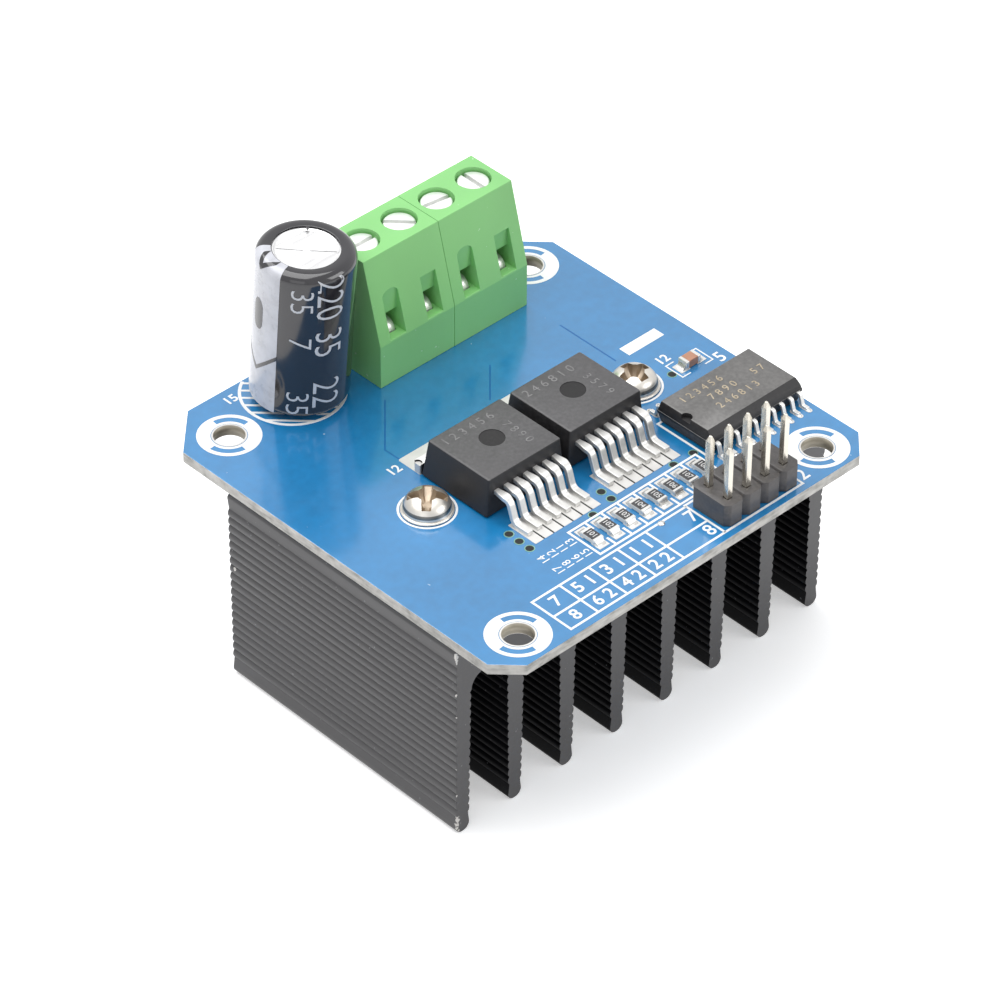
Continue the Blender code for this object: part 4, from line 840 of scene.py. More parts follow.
def build_pads():
    """Bare tinned copper that shows round the chips, and the solder on it."""
    foil = bmesh.new()
    solder = bmesh.new()
    for side in SIDES:
        add_driver_pads(foil, solder, side)
    low, high = box("logic_chip")
    for lead in range(LOGIC_LEADS):
        x = logic_lead_x(lead)
        for toe, outward in ((low.y, -1), (high.y, 1)):
            y0, y1 = sorted((toe + outward * 0.45, toe - outward * 1.15))
            add_prism(foil, rounded(x - 0.3, x + 0.3, y0, y1, 0.28), TOP, FOIL)
            add_mound(solder, x, toe - outward * 0.25, 0.27, 0.65, 0.14)
    add_mound(solder, *SOLDER_DROP, 0.4, 0.36, 0.2, INK)
    piece("bare_pads", foil, [PAD])
    piece("solder_joints", solder, [SOLDER], 50)


def build_vias():
    """Varnished rims round small holes, painted shade in the holes and painted shade under the drivers'
    leads.
    """
    rims = bmesh.new()
    shade_level = TOP + 0.01
    for place in VIAS:
        add_ring(rims, place, 0.52, 0.42, TOP, TOP + 0.02, 28)
        add_prism(rims, circle(place, 0.425, 28), TOP, shade_level, 1)
    for side in SIDES:
        first, last = box(f"driver_lead_{side}_1")[0], box(f"driver_lead_{side}_{DRIVER_LEADS}")[1]
        shaded = rectangle(first.x, last.x, DRIVER_PAD_FRONT + 0.05, first.y + 2.4)
        add_prism(rims, shaded, TOP, shade_level, 1)
    piece("vias", rims, [RIM, HOLE_AND_LEAD_SHADE])


# Heatsink, an extrusion along Y
FIN_COUNT = 8
FIN_TIP = 1.7
FIN_ROOT = 2.3
BASE_HEIGHT = 4.0
TIP_ROUNDING = 0.8
FILLET = 1.6
RIPPLE_PITCH = 1.0
RIPPLE_DEPTH = 0.18
RIPPLE_START = 2.1
RIPPLE_STEPS = 6
LIP_HEIGHT = 1.9
LIP_ROUNDING = 0.45
TAPPED_RADIUS = 1.5
ROOT_LEVEL = HEATSINK_HIGH.z - BASE_HEIGHT


def rippled_side(x_tip, x_root, outward, outer):
    """A fin's flank from tip to root; the two outermost flanks run on up to the lip."""
    end = HEATSINK_HIGH.z - LIP_HEIGHT if outer else ROOT_LEVEL - FILLET
    count = int((end - RIPPLE_START) / RIPPLE_PITCH + 0.01)
    points = []
    for i in range(count * RIPPLE_STEPS + 1):
        share = i / RIPPLE_STEPS
        z = RIPPLE_START + share * RIPPLE_PITCH
        depth = RIPPLE_DEPTH * (1 - abs(math.sin(math.pi * share)) ** 0.7)
        points.append((x_tip + (x_root - x_tip) * z / ROOT_LEVEL - outward * depth, z))
    return points


def heatsink_outline():
    half, height = HEATSINK_HIGH.x, HEATSINK_HIGH.z
    outline = arc((half - LIP_ROUNDING, height - LIP_ROUNDING), LIP_ROUNDING, 0, 90, 8)
    outline += arc((LIP_ROUNDING - half, height - LIP_ROUNDING), LIP_ROUNDING, 90, 180, 8)
    pitch = (2 * half - FIN_TIP) / (FIN_COUNT - 1)
    lean = (FIN_ROOT - FIN_TIP) / 2
    previous = None
    for i in range(FIN_COUNT):
        first, last = i == 0, i == FIN_COUNT - 1
        centre = -half + FIN_TIP / 2 + i * pitch
        left, right = centre - FIN_TIP / 2, centre + FIN_TIP / 2
        left_root = left if first else left - lean
        right_root = right if last else right + lean
        if previous is not None:
            outline += arc((previous + FILLET, ROOT_LEVEL - FILLET), FILLET, 180, 90, 8)
            outline += arc((left_root - FILLET, ROOT_LEVEL - FILLET), FILLET, 90, 0, 8)
        outline += reversed(rippled_side(left, left_root, -1, first))
        outline += arc((left + TIP_ROUNDING, TIP_ROUNDING), TIP_ROUNDING, 180, 270, 6)
        outline += arc((right - TIP_ROUNDING, TIP_ROUNDING), TIP_ROUNDING, 270, 360, 6)
        outline += rippled_side(right, right_root, 1, last)
        previous = right_root
    return outline


def in_channel(centre, normal):
    """True for the faces between the fins, which the room's light hardly reaches."""
    inside = abs(centre.x) <= HEATSINK_HIGH.x - 0.5 and centre.z <= HEATSINK_HIGH.z * 0.97
    return inside and abs(normal.y) <= 0.5


def build_heatsink():
    builder = bmesh.new()
    outline = heatsink_outline()
    rings = []
    for y in (HEATSINK_LOW.y, HEATSINK_HIGH.y):
        rings.append([builder.verts.new((x, y, z)) for x, z in outline])
    bridge(builder, rings)
    made = piece("heatsink_finish", builder, [ANODISED, CHANNEL_SHADE], nodes=("heatsink",))
    # Faces between the fins take the darker channel copy: painted shade.
    paint_faces(made, 1, in_channel)
    holes = bmesh.new()
    for place in FIXINGS:
        bore = circle(place, TAPPED_RADIUS, 32)
        add_prism(holes, bore, ROOT_LEVEL - FILLET, HEATSINK_HIGH.z + 1.0)
    carve(made, holes, 32)
    repaint("thermal_pad", THERMAL_PAD)


# Screws through the board
SHANK_RADIUS = 1.45
FLANGE_RADIUS = 2.65
HEAD_RADIUS = 2.4
HEAD_SEAT = TOP + 0.025
LIP_TOP = HEAD_SEAT + 0.35
RECESS_STEPS = (              # depth under the head's top, share of the reach, half an arm's width
    (1.5, 0.35, 0.2), (1.2, 0.66, 0.34), (0.7, 0.92, 0.44), (0.2, 0.98, 0.5), (-1.0, 1.0, 0.52),
)


def fixing_profile(low, high):
    """Half the screw's outline: shank, flange with a rolled edge, and domed head."""
    chamfer, rolled = 0.29, 0.12
    profile = [(SHANK_RADIUS - chamfer, low), (SHANK_RADIUS, low + chamfer)]
    profile += [(SHANK_RADIUS, HEAD_SEAT), (FLANGE_RADIUS - 0.08, HEAD_SEAT)]
    profile += arc((FLANGE_RADIUS - rolled, HEAD_SEAT + rolled), rolled, -60, 90, 5)
    profile.append((HEAD_RADIUS + 0.02, LIP_TOP - 0.1))
    steps = 12
    for i in range(steps + 1):
        angle = math.radians(84.0) * i / steps
        radius = HEAD_RADIUS * math.cos(angle) ** 0.7
        profile.append((radius, LIP_TOP + (high - LIP_TOP) * math.sin(angle)))
    return profile


def recess_arm(reach, half):
    """The end of one arm of the cross and the rounded corner that follows it."""
    chamfer, corner = 0.08, half * 1.75
    return (
        (reach - chamfer, -half), (reach, -half + chamfer), (reach, half - chamfer),
        (reach - chamfer, half), (corner, half + 0.03), (half + 0.03, corner),
    )


def build_fixing(name, recess_angle, recess_reach):
    low, high = box(name)
    place = middle(name).xy
    builder = bmesh.new()
    add_turned(builder, fixing_profile(low.z, high.z), place, 72)
    made = piece(name + "_finish", builder, [NICKEL, RECESS_SHADE, NICKEL_FOOT_REFLECTION], nodes=(name,))
    # A band round the lower dome takes the darker nickel: painted dark reflection.
    paint_faces(made, 2, lambda centre, normal: 0.12 < centre.z - LIP_TOP < 0.62)
    outlines = []
    for depth, share, half in RECESS_STEPS:
        outline = []
        for quarter in range(4):
            arm = recess_arm(recess_reach * share, half)
            outline += turned_about(place, arm, recess_angle + 90 * quarter)
        outlines.append((outline, high.z - depth))
    recess = bmesh.new()
    add_tapered(recess, outlines)
    # The recess walls take the darker nickel: painted shade.
    carve(made, recess, 28, 1)


# Driver chips
DRIVER_TOP_WIDTH = 9.5
DRIVER_MARK_RADIUS = 1.3
DRIVER_MARK_Y = -2.45
LEAD_THICKNESS = 0.5


def driver_lead_path(front):
    """The lead's middle line from inside the chip to the toe, and its widths along it."""
    high, low = TOP + 2.65, SEAT + LEAD_THICKNESS / 2
    toe = front - 4.6
    corners = [(front + 1.0, high), (front - 1.75, high), (toe + 2.05, low), (toe, low)]
    path = smooth_bend(corners, 0.95, 8)
    path.insert(1, (front - 0.1, high))
    widths = [0.62, 0.62, 0.92, 0.92, 0.88, 0.83, 0.78]
    return path, widths + [0.73] * (len(path) - len(widths))


def driver_levels(low, high):
    """Outlines of the moulded body, whose sides and ends lean in up to a rounded edge."""
    x, edge = (low.x + high.x) / 2, 0.14
    base, top = (high.x - low.x) / 2, DRIVER_TOP_WIDTH / 2
    front_lean, back_lean = 0.15, 0.5
    steps = [(low.z, 0.1, 0.0), (low.z + 0.1, 0.0, 0.0)]
    for i in range(5):
        angle = math.pi / 2 * i / 4
        steps.append((high.z - edge + edge * math.sin(angle), edge * (1 - math.cos(angle)), 1.0))
    levels = []
    for z, inset, leaning in steps:
        share = (z - low.z) / (high.z - low.z)
        half = base + (top - base) * share - inset
        y0 = low.y + front_lean * share * leaning + inset
        y1 = high.y - back_lean * share * leaning - inset
        levels.append((rounded(x - half, x + half, y0, y1, 0.2), z))
    return levels


def build_driver(side, numbers):
    node = f"driver_body_{side}"
    low, high = box(node)
    x = middle(node).x
    builder = bmesh.new()
    add_tapered(builder, driver_levels(low, high))
    made = piece(node + "_finish", builder, [CHIP, CHIP_SIDE_SHADE, CHIP_MARK], nodes=(node,))
    # The body's sides take the darker plastic: painted shade.
    paint_faces(made, 1, lambda centre, normal: normal.z <= 0.6)
    mark = bmesh.new()
    outline = circle((x, DRIVER_MARK_Y), DRIVER_MARK_RADIUS, 48)
    add_prism(mark, outline, high.z - 0.06, high.z + 1.0)
    carve(made, mark, 35, 2)
    print_builder = bmesh.new()
    level = high.z + CLEAR
    add_print(print_builder, numbers[0], 1.05, (x - 0.8, 0.1), 0.0, level)
    add_print(print_builder, numbers[1], 0.95, (x + 2.45, -3.5), -90.0, level)
    piece(f"driver_print_{side}", print_builder, [CHIP_PRINT])
    tab = refined(f"driver_tab_{side}", [TINNED, CHIP_SIDE_SHADE], 0.07)
    # The tab's outer side faces take the dark plastic: painted shade.
    paint_faces(tab, 1, lambda centre, normal: abs(centre.x - x) > 4.4 and abs(normal.z) < 0.5)
    path, widths = driver_lead_path(low.y)
    for number in range(1, DRIVER_LEADS + 1):
        lead = f"driver_lead_{side}_{number}"
        strip = bmesh.new()
        add_strip(strip, path, widths, LEAD_THICKNESS, middle(lead).x)
        soften(piece(lead + "_finish", strip, [TINNED], nodes=(lead,)), 0.08, 3, 50.0)


# Logic chip
LOGIC_HALF_LENGTH = 6.4
LOGIC_HALF_WIDTH = 3.75
LOGIC_DRAFT = 0.28
LOGIC_LOW, LOGIC_HIGH = TOP + 0.15, TOP + 2.6
LOGIC_MIDDLE = (LOGIC_LOW + LOGIC_HIGH) / 2
LOGIC_ROWS = (                # text, and its place from the chip's middle
    ("1 2 3 4 5 6", -2.0, 2.05), ("7 8 9 0", -0.55, 0.5), ("2 4 6 8 1 3", 0.1, -1.0), ("5 7", 4.35, 0.5),
)


def logic_lead_path(outward):
    out, thickness, foot = 0.32, 0.27, 0.75
    toe = box("logic_chip")[0 if outward < 0 else 1].y
    reach, low = abs(toe - LOGIC.y), SEAT + thickness / 2
    path = [
        (LOGIC_HALF_WIDTH - thickness, LOGIC_MIDDLE), (LOGIC_HALF_WIDTH + out, LOGIC_MIDDLE),
        (reach - foot, low), (reach, low),
    ]
    return smooth_bend([(LOGIC.y + outward * y, z) for y, z in path], 0.26, 5)


def logic_levels():
    """Outlines of the body: two drafted halves, a mould seam between them and a rounded top."""
    draft, edge, seam, step = LOGIC_DRAFT, 0.1, 0.13, 0.04
    x0, x1 = LOGIC.x - LOGIC_HALF_LENGTH, LOGIC.x + LOGIC_HALF_LENGTH
    y0, y1 = LOGIC.y - LOGIC_HALF_WIDTH, LOGIC.y + LOGIC_HALF_WIDTH
    levels = []
    for z, inset in (
        (LOGIC_LOW, draft), (LOGIC_MIDDLE - seam - 0.01, step), (LOGIC_MIDDLE - seam, 0.0),
        (LOGIC_MIDDLE + seam, 0.0), (LOGIC_MIDDLE + seam + 0.01, step),
        (LOGIC_HIGH - edge, draft - 0.02), (LOGIC_HIGH - 0.03, draft + 0.03), (LOGIC_HIGH, draft + edge),
    ):
        levels.append((rounded(x0 + inset, x1 - inset, y0 + inset, y1 - inset, 0.12), z))
    return levels


def build_logic_chip():
    x, y = LOGIC.xy
    builder = bmesh.new()
    add_tapered(builder, logic_levels())
    made = piece("logic_chip_finish", builder, [CHIP_GREY, CHIP_SIDE_SHADE], nodes=("logic_chip",))
    # The body's sides take the darker plastic: painted shade.
    paint_faces(made, 1, lambda centre, normal: normal.z <= 0.6)
    # The chamfer along the top's front edge and the notch at its end take the darker plastic: painted
    # shade.
    slope = bmesh.new()
    front, width, depth, beyond = y - LOGIC_HALF_WIDTH + LOGIC_DRAFT, 0.75, 0.65, 0.87
    wedge = (
        (front - 1.0, LOGIC_HIGH - depth - beyond), (front + width + beyond, LOGIC_HIGH + 1.0),
        (front - 1.0, LOGIC_HIGH + 1.0),
    )
    bridge(slope, [[slope.verts.new((end, a, b)) for a, b in wedge] for end in (x - 8, x + 8)])
    carve(made, slope, None, 1)
    notch = bmesh.new()
    outline = circle((x - LOGIC_HALF_LENGTH + LOGIC_DRAFT, y), 0.62, 40)
    add_prism(notch, outline, LOGIC_HIGH - 0.5, LOGIC_HIGH + 1.0)
    carve(made, notch, 35, 1)
    leads = bmesh.new()
    for outward in (-1, 1):
        path = logic_lead_path(outward)
        for lead in range(LOGIC_LEADS):
            add_strip(leads, path, [0.44] * len(path), 0.26, logic_lead_x(lead))
    legs = piece("logic_chip_leads", leads, [TINNED])
    soften(legs, 0.045, 2, 50.0)
    print_builder = bmesh.new()
    for text, dx, dy in LOGIC_ROWS:
        add_print(print_builder, text, 0.9, (x + dx, y + dy), level=LOGIC_HIGH + CLEAR)
    piece("logic_chip_print", print_builder, [LOGIC_PRINT])


# Chip resistors and the ceramic capacitor
CHIP_LENGTH = 2.0
CHIP_WIDTH = 1.25
PAD_INNER = 0.5              # from the part's middle to the near end of its pads


def across_chip(centre, upright, along, across):
    """A point of a chip part, which lies along X or, if upright, along Y."""
    dx, dy = (across, along) if upright else (along, across)
    return centre.x + dx, centre.y + dy


def chip_outline(centre, upright, a0, a1, half, radius, steps=3):
    x0, y0 = across_chip(centre, upright, a0, -half)
    x1, y1 = across_chip(centre, upright, a1, half)
    return rounded(x0, x1, y0, y1, radius, steps)


def add_chip_part(builder, centre, upright, height, cap):
    """Body, top film and end caps of a chip part; slots are body, film and cap."""
    half, side, low, high = CHIP_LENGTH / 2, CHIP_WIDTH / 2, SEAT, SEAT + height
    inner = half - cap

    def outline(a0, a1, inset, radius):
        return chip_outline(centre, upright, a0, a1, side - inset, radius)

    add_prism(builder, outline(-half + 0.06, half - 0.06, 0.03, 0.04), low + 0.04, high)
    add_prism(builder, outline(-inner, inner, 0.06, 0.05), high - 0.02, high + 0.035, 1)
    for a0, a1 in ((-half, -inner), (inner, half)):
        sides = outline(a0, a1, 0.0, 0.07)
        base, top = outline(a0 + 0.04, a1 - 0.02, 0.04, 0.04), outline(a0 + 0.05, a1 - 0.03, 0.05, 0.05)
        levels = [(base, low), (sides, low + 0.05), (sides, high - 0.02), (top, high + 0.04)]
        add_tapered(builder, levels, 2)


def add_chip_joints(pads, fillets, centre, upright, pad_end, pad_half, reach, height):
    """The two pads of a chip part, and the solder that climbs from them up its ends."""
    half, steps = 0.6, 6
    for outward in (-1, 1):
        a0, a1 = sorted((outward * PAD_INNER, outward * pad_end))
        add_prism(pads, chip_outline(centre, upright, a0, a1, pad_half, 0.08, 4), TOP, FOIL)
        rings = []
        for i in range(steps + 1):
            share = i / steps
            along = outward * (0.97 + reach * share)
            rise = height * (1 - share) ** 2.2 + 0.03
            width = half * (1 - 0.18 * share ** 2)
            ring = []
            for across, z in ((-width, 0.0), (width, 0.0), (width * 0.8, rise), (-width * 0.8, rise)):
                ring.append(fillets.verts.new((*across_chip(centre, upright, along, across), TOP + z)))
            rings.append(ring)
        bridge(fillets, rings)


def build_chip_parts():
    pads = bmesh.new()
    fillets = bmesh.new()
    for number in range(1, 9):
        node = f"resistor_{number}"
        centre = middle(node).xy
        builder = bmesh.new()
        add_chip_part(builder, centre, True, 0.5, 0.34)
        add_print(builder, str(100 + number), 0.62, centre, -90.0, SEAT + 0.56, 3, 0.9)
        materials = [ALUMINA, RESISTOR_TOP, TINNED, RESISTOR_PRINT]
        piece(node + "_finish", builder, materials, 40, nodes=(node,))
        add_chip_joints(pads, fillets, centre, True, 1.78, 0.66, 0.72, 0.42)
    centre = middle("ceramic_capacitor").xy
    builder = bmesh.new()
    add_chip_part(builder, centre, False, 0.85, 0.4)
    materials = [CERAMIC, CERAMIC, TINNED]
    piece("ceramic_capacitor_finish", builder, materials, 40, nodes=("ceramic_capacitor",))
    add_chip_joints(pads, fillets, centre, False, 1.75, 0.7, 0.65, 0.6)
    piece("chip_part_pads", pads, [PAD])
    joints = piece("chip_part_solder", fillets, [SOLDER])
    soften(joints, 0.08, 2, 40.0)


# Electrolytic capacitor
CAN_LEAN = (1.6, -3.3)       # degrees towards +X and +Y
CAN_RADIUS = 5.0
CAN_LENGTH = 17.5
SLEEVE_WALL = 0.15
SLEEVE_ROUNDING = 1.0
SLEEVE_CURL = 60.0
SHOULDER = CAN_LENGTH - SLEEVE_ROUNDING
CORNER_RADIUS = CAN_RADIUS - SLEEVE_ROUNDING
OPENING_RADIUS = 3.35
CAN_TOP = CAN_LENGTH - SLEEVE_WALL - 0.05
CAN_WALL_RADIUS = CAN_RADIUS - SLEEVE_WALL - 0.05
SCORE_ANGLE = 136.0
FLAP_ANGLE = 46.0
STRIPE_ANGLE = 167.0
STRIPE_HALF = 31.0
STRIPE_START, STRIPE_END = 0.3, CAN_LENGTH - SLEEVE_ROUNDING * (1 - math.pi / 2) + 0.55
FILM, NUMBER, MARK = 0.012, 0.03, 0.035      # how far stripe, numbers and marks stand off the sleeve
WRAP_STEP = 0.25             # the length of film that may stay straight on the sleeve
CAN_NUMBERS = (               # text, height, angle, level and squeeze
    ("35", 2.3, 223.0, 14.6, 0.95), ("7", 2.3, 223.0, 9.55, 0.95), ("35", 2.3, 223.0, 2.05, 0.95),
    ("220", 3.0, 256.0, 14.7, 0.8), ("35", 3.0, 256.0, 9.3, 0.8), ("22", 3.0, 256.0, 3.1, 0.8),
)


def can_matrix():
    along = Vector((*(math.tan(math.radians(lean)) for lean in CAN_LEAN), 1.0)).normalized()
    turn = Vector((0, 0, 1)).rotation_difference(along).to_matrix().to_4x4()
    return Matrix.Translation(CAN_FOOT) @ turn


def on_can(angle, level, lift=0.0):
    """A point on the sleeve; level runs up the side and then in over the shoulder."""
    turn = math.radians(angle)
    radius, z = CAN_RADIUS + lift, level
    bend = (level - SHOULDER) / SLEEVE_ROUNDING
    if bend > math.pi / 2:
        radius = CORNER_RADIUS - (bend - math.pi / 2) * SLEEVE_ROUNDING
        z = CAN_LENGTH + lift
    elif bend > 0:
        radius = CORNER_RADIUS + (SLEEVE_ROUNDING + lift) * math.cos(bend)
        z = SHOULDER + (SLEEVE_ROUNDING + lift) * math.sin(bend)
    return Vector((radius * math.cos(turn), radius * math.sin(turn), z))


def add_can_film(builder, left, right, lift, slot=0, columns=8):
    """A film on the sleeve between two edges of equal count, each a list of (angle, level)."""
    rows = []
    for (angle0, level0), (angle1, level1) in zip(left, right):
        row = []
        for column in range(columns + 1):
            share = column / columns
            angle, level = angle0 + (angle1 - angle0) * share, level0 + (level1 - level0) * share
            row.append(builder.verts.new(on_can(angle, level, lift)))
        rows.append(row)
    for row, after in zip(rows, rows[1:]):
        for i in range(columns):
            face = builder.faces.new((row[i], row[i + 1], after[i + 1], after[i]))
            face.material_index = slot


def add_can_stripe(builder):
    rows, left, right = int((STRIPE_END - STRIPE_START) / WRAP_STEP), [], []
    for row in range(rows + 1):
        level = STRIPE_START + (STRIPE_END - STRIPE_START) * row / rows
        left.append((STRIPE_ANGLE - STRIPE_HALF, level))
        right.append((STRIPE_ANGLE + STRIPE_HALF, level))
    add_can_film(builder, left, right, FILM, columns=24)


def add_can_oval(builder, level, half_width, half_height):
    """A dark, nearly square-ended oval on the stripe."""
    left, right = [], []
    for i in range(1, 24):
        turn = math.pi * i / 24
        up = level + half_height * math.cos(turn)
        share = min(1.0, (1 - abs(math.cos(turn)) ** 4) ** 0.5)
        reach = math.degrees(half_width * share / CAN_RADIUS)
        left.append((STRIPE_ANGLE - reach, up))
        right.append((STRIPE_ANGLE + reach, up))
    add_can_film(builder, left, right, MARK, 1)


def add_can_chevron(builder, level, half):
    """A dark arrow line across the stripe, its point downward."""
    slope = 0.083
    reach = min(STRIPE_HALF, (STRIPE_END - half - level) / slope)
    upper, lower = [], []
    for i in range(41):
        angle = STRIPE_ANGLE + reach * (i / 20 - 1)
        rise = abs(angle - STRIPE_ANGLE) * slope
        upper.append((angle, level + rise + half))
        lower.append((angle, level + rise - half))
    add_can_film(builder, upper, lower, MARK, 1)


def add_can_print(builder, text, height, angle, level, squeeze):
    """Numbers that run down the can, their tops turned towards growing angles."""
    mesh = print_mesh(text, height, Matrix.Identity(4), 0.0, squeeze, -0.035)
    flat = bmesh.new()
    flat.from_mesh(mesh)
    bpy.data.meshes.remove(mesh)
    cut = -height
    while cut < height:
        bmesh.ops.bisect_plane(
            flat, geom=flat.verts[:] + flat.edges[:] + flat.faces[:],
            plane_co=(0, cut, 0), plane_no=(0, 1, 0),
        )
        cut += WRAP_STEP
    for vertex in flat.verts:
        along, up = vertex.co.xy
        vertex.co = on_can(angle + math.degrees(up / CAN_RADIUS), level - along, NUMBER)
    wrapped = bpy.data.meshes.new("wrapped")
    flat.to_mesh(wrapped)
    flat.free()
    add_mesh(builder, wrapped, 2)


def build_sleeve():
    """The shrink sleeve, curled in over both ends and drawn in a little between them."""
    lip, inner_rounding = 0.08, SLEEVE_ROUNDING - SLEEVE_WALL
    profile = arc((OPENING_RADIUS + lip, CAN_LENGTH - lip), lip, 180, 90, 3)
    profile += arc((CORNER_RADIUS, SHOULDER), SLEEVE_ROUNDING, 90, 0, 10)
    for i in range(1, 8):
        level = SHOULDER + (SLEEVE_ROUNDING - SHOULDER) * i / 8
        profile.append((CAN_RADIUS - 0.02 * math.sin(math.pi * i / 8) ** 2, level))
    profile += arc((CORNER_RADIUS, SLEEVE_ROUNDING), SLEEVE_ROUNDING, 0, -SLEEVE_CURL, 8)
    profile += arc((CORNER_RADIUS, SLEEVE_ROUNDING), inner_rounding, -SLEEVE_CURL, 0, 6)
    profile += arc((CORNER_RADIUS, SHOULDER), inner_rounding, 0, 90, 6)
    profile.append((OPENING_RADIUS + 0.05, CAN_LENGTH - SLEEVE_WALL))
    builder = bmesh.new()
    add_turned(builder, profile, (0, 0), 96, closed=True)
    builder.transform(can_matrix())
    piece("capacitor_sleeve_finish", builder, [SLEEVE], 40, nodes=("capacitor_sleeve",))


def build_can():
    """The aluminium can, its top dished and scored as a vent."""
    top, radius, rounding = CAN_TOP, CAN_WALL_RADIUS, 0.8
    profile = [(3.0, 0.32), (radius - 0.75, 0.3), (radius, 1.0), (radius, top - rounding)]
    profile += arc((radius - rounding, top - rounding), rounding, 0, 90, 6)
    profile += [(OPENING_RADIUS - 0.1, top), (OPENING_RADIUS - 0.3, top - 0.16), (0.9, top - 0.2)]
    builder = bmesh.new()
    add_turned(builder, profile, (0, 0), 96)
    builder.transform(can_matrix())
    can = piece("capacitor_can_finish", builder, [ALUMINIUM, SCORE_SHADE], 30, nodes=("capacitor_can",))
    scores = bmesh.new()
    for x0, x1 in ((-2.95, -0.35), (0.35, 2.95)):
        line = turned_about((0, 0), rectangle(x0, x1, -0.045, 0.045), SCORE_ANGLE)
        add_prism(scores, line, top - 0.27, top + 0.5)
    scores.transform(can_matrix())
    # The score lines' walls take the dark aluminium: painted shade.
    carve(can, scores, 30, 1)
    for number in (1, 2):
        repaint(f"capacitor_lead_{number}", TINNED)


def build_can_print():
    """The stripe with its marks, the flap's shade and the numbers."""
    film = bmesh.new()
    add_can_stripe(film)
    add_can_oval(film, 11.2, 0.72, 1.85)
    for level, half in ((4.5, 0.25), (16.9, 0.35)):
        add_can_chevron(film, level, half)
    flap = turned_about((0, 0), ((3.5, -0.3), (3.5, 0.3), (2.95, 0.04), (2.95, -0.04)), FLAP_ANGLE)
    add_prism(film, flap, CAN_LENGTH - 0.1, CAN_LENGTH - 0.02, 1)
    for text, height, angle, level, squeeze in CAN_NUMBERS:
        add_can_print(film, text, height, angle, level, squeeze)
    film.transform(can_matrix())
    piece("capacitor_sleeve_print", film, [STRIPE, SLEEVE, SLEEVE_PRINT], 60)


# Screw terminals
SLOT_ANGLES = (0.0, -46.0, -8.0, 88.0)
CLAMP_HEAD_RADIUS = 1.65
CLAMP_HEAD_HEIGHT = 1.55
CLAMP_SHANK_RADIUS = 1.2
THREAD_PITCH = 0.45
THREAD_DEPTH = 0.16


def clamp_screw_profile(low, high):
    """Half the clamp screw's outline, with its thread as plain grooves."""
    seat = high - CLAMP_HEAD_HEIGHT
    crest, root = CLAMP_SHANK_RADIUS, CLAMP_SHANK_RADIUS - THREAD_DEPTH
    profile = [(crest - 0.3, low), (crest, low + 0.3)]
    for i in range(int((seat - low - 0.6) / THREAD_PITCH)):
        z = low + 0.45 + i * THREAD_PITCH
        profile += [(crest, z), (root, z + THREAD_PITCH * 0.45), (root, z + THREAD_PITCH * 0.55)]
    profile += [(crest, seat), (CLAMP_HEAD_RADIUS - 0.05, seat), (CLAMP_HEAD_RADIUS, seat + 0.08)]
    profile += arc((CLAMP_HEAD_RADIUS - 0.16, high - 0.16), 0.16, 0, 90, 4)
    return profile


def build_clamp_screw(name, angle):
    low, high = box(name)
    place = middle(name).xy
    builder = bmesh.new()
    add_turned(builder, clamp_screw_profile(low.z, high.z), place, 48)
    made = piece(name + "_finish", builder, [ZINC, SLOT_METAL], body=name, nodes=(name,))
    slot = bmesh.new()
    outline = turned_about(place, rectangle(-3, 3, -0.25, 0.25), angle)
    add_prism(slot, outline, high.z - 0.7, high.z + 1.0)
    carve(made, slot, 30, 1)


def build_terminals():
    for side in SIDES:
        refined(f"terminal_housing_{side}", [GREEN], 0.13, 3, crease=10.0)
    for number, angle in enumerate(SLOT_ANGLES, 1):
        build_clamp_screw(f"clamp_screw_{number}", angle)
        refined(f"clamp_cage_{number}", [ZINC], 0.08, 2, f"clamp_cage_{number}")
        refined(f"terminal_pin_{number}", [TINNED], 0.06, 2, angle=50.0)


# Pin header
def build_header():
    refined("header_base", [HEADER], 0.06)
    for number in range(1, 9):
        refined(f"header_pin_{number}", [PIN_METAL], 0.04, angle=12.0)


# Solder under the board
def build_underside_solder():
    """Ring pads and cones of solder round the pins and leads under the board."""
    builder = bmesh.new()
    pads = bmesh.new()
    steps = 8
    for places, radius, height, core in (
        (pin_places(), 0.9, 1.1, 0.34), (contact_places(), 1.45, 1.3, 0.55),
        (can_lead_places(), 1.0, 1.0, 0.32),
    ):
        profile = []
        for i in range(steps + 1):
            share = i / steps
            flare = (radius - 0.08 - core) * (1 - share) ** 2
            profile.append((core + flare, UNDERSIDE - 0.03 - height * share))
        for place in places:
            add_plate(pads, [circle(place, radius, 32)], UNDERSIDE - 0.04, UNDERSIDE)
            add_turned(builder, profile, place, 32)
    piece("underside_solder", builder, [SOLDER], 50)
    piece("underside_pads", pads, [PAD])


# Ink on the board
LINE = 0.25
TABLE_X = (-15.9, -12.33, -8.5, -4.67, -0.93, 4.6)
TABLE_Y = (-18.9, -21.77, -24.15)
TABLE_NUMBERS = (("7", "5 1", "3 1", "1 1"), ("8", "6 2", "4 2", "2 2"))
HEADER_CORNER = (15.3, -18.72)
ROW_X = (-6.32, 10.9)        # the frame round the resistors
ROW_Y = (-18.3, -13.95)
ROW_STEP = 2.15
CAN_RING_CENTRE = Vector((-10.9, 20.2))
CAN_RING_RADIUS = 5.25
INK_END = HALF_BOARD - 0.22
WHITE_BAR = (17.3, 22.2, 1.57, 3.0)          # x0, x1, y0, y1
LOOSE_NUMBERS = (             # text, height, place and weight
    ("7", 1.6, (3.95, -20.3), 0.02), ("8", 1.5, (3.75, -22.95), 0.02), ("2", 1.6, (16.2, -23.2), 0.02),
    ("5", 1.5, (23.7, -4.8), 0.02), ("12", 1.1, (19.2, -1.2), 0.03), ("12", 1.1, (-12.0, 4.3), 0.03),
    ("15", 1.1, (-16.2, 23.4), 0.03),
)
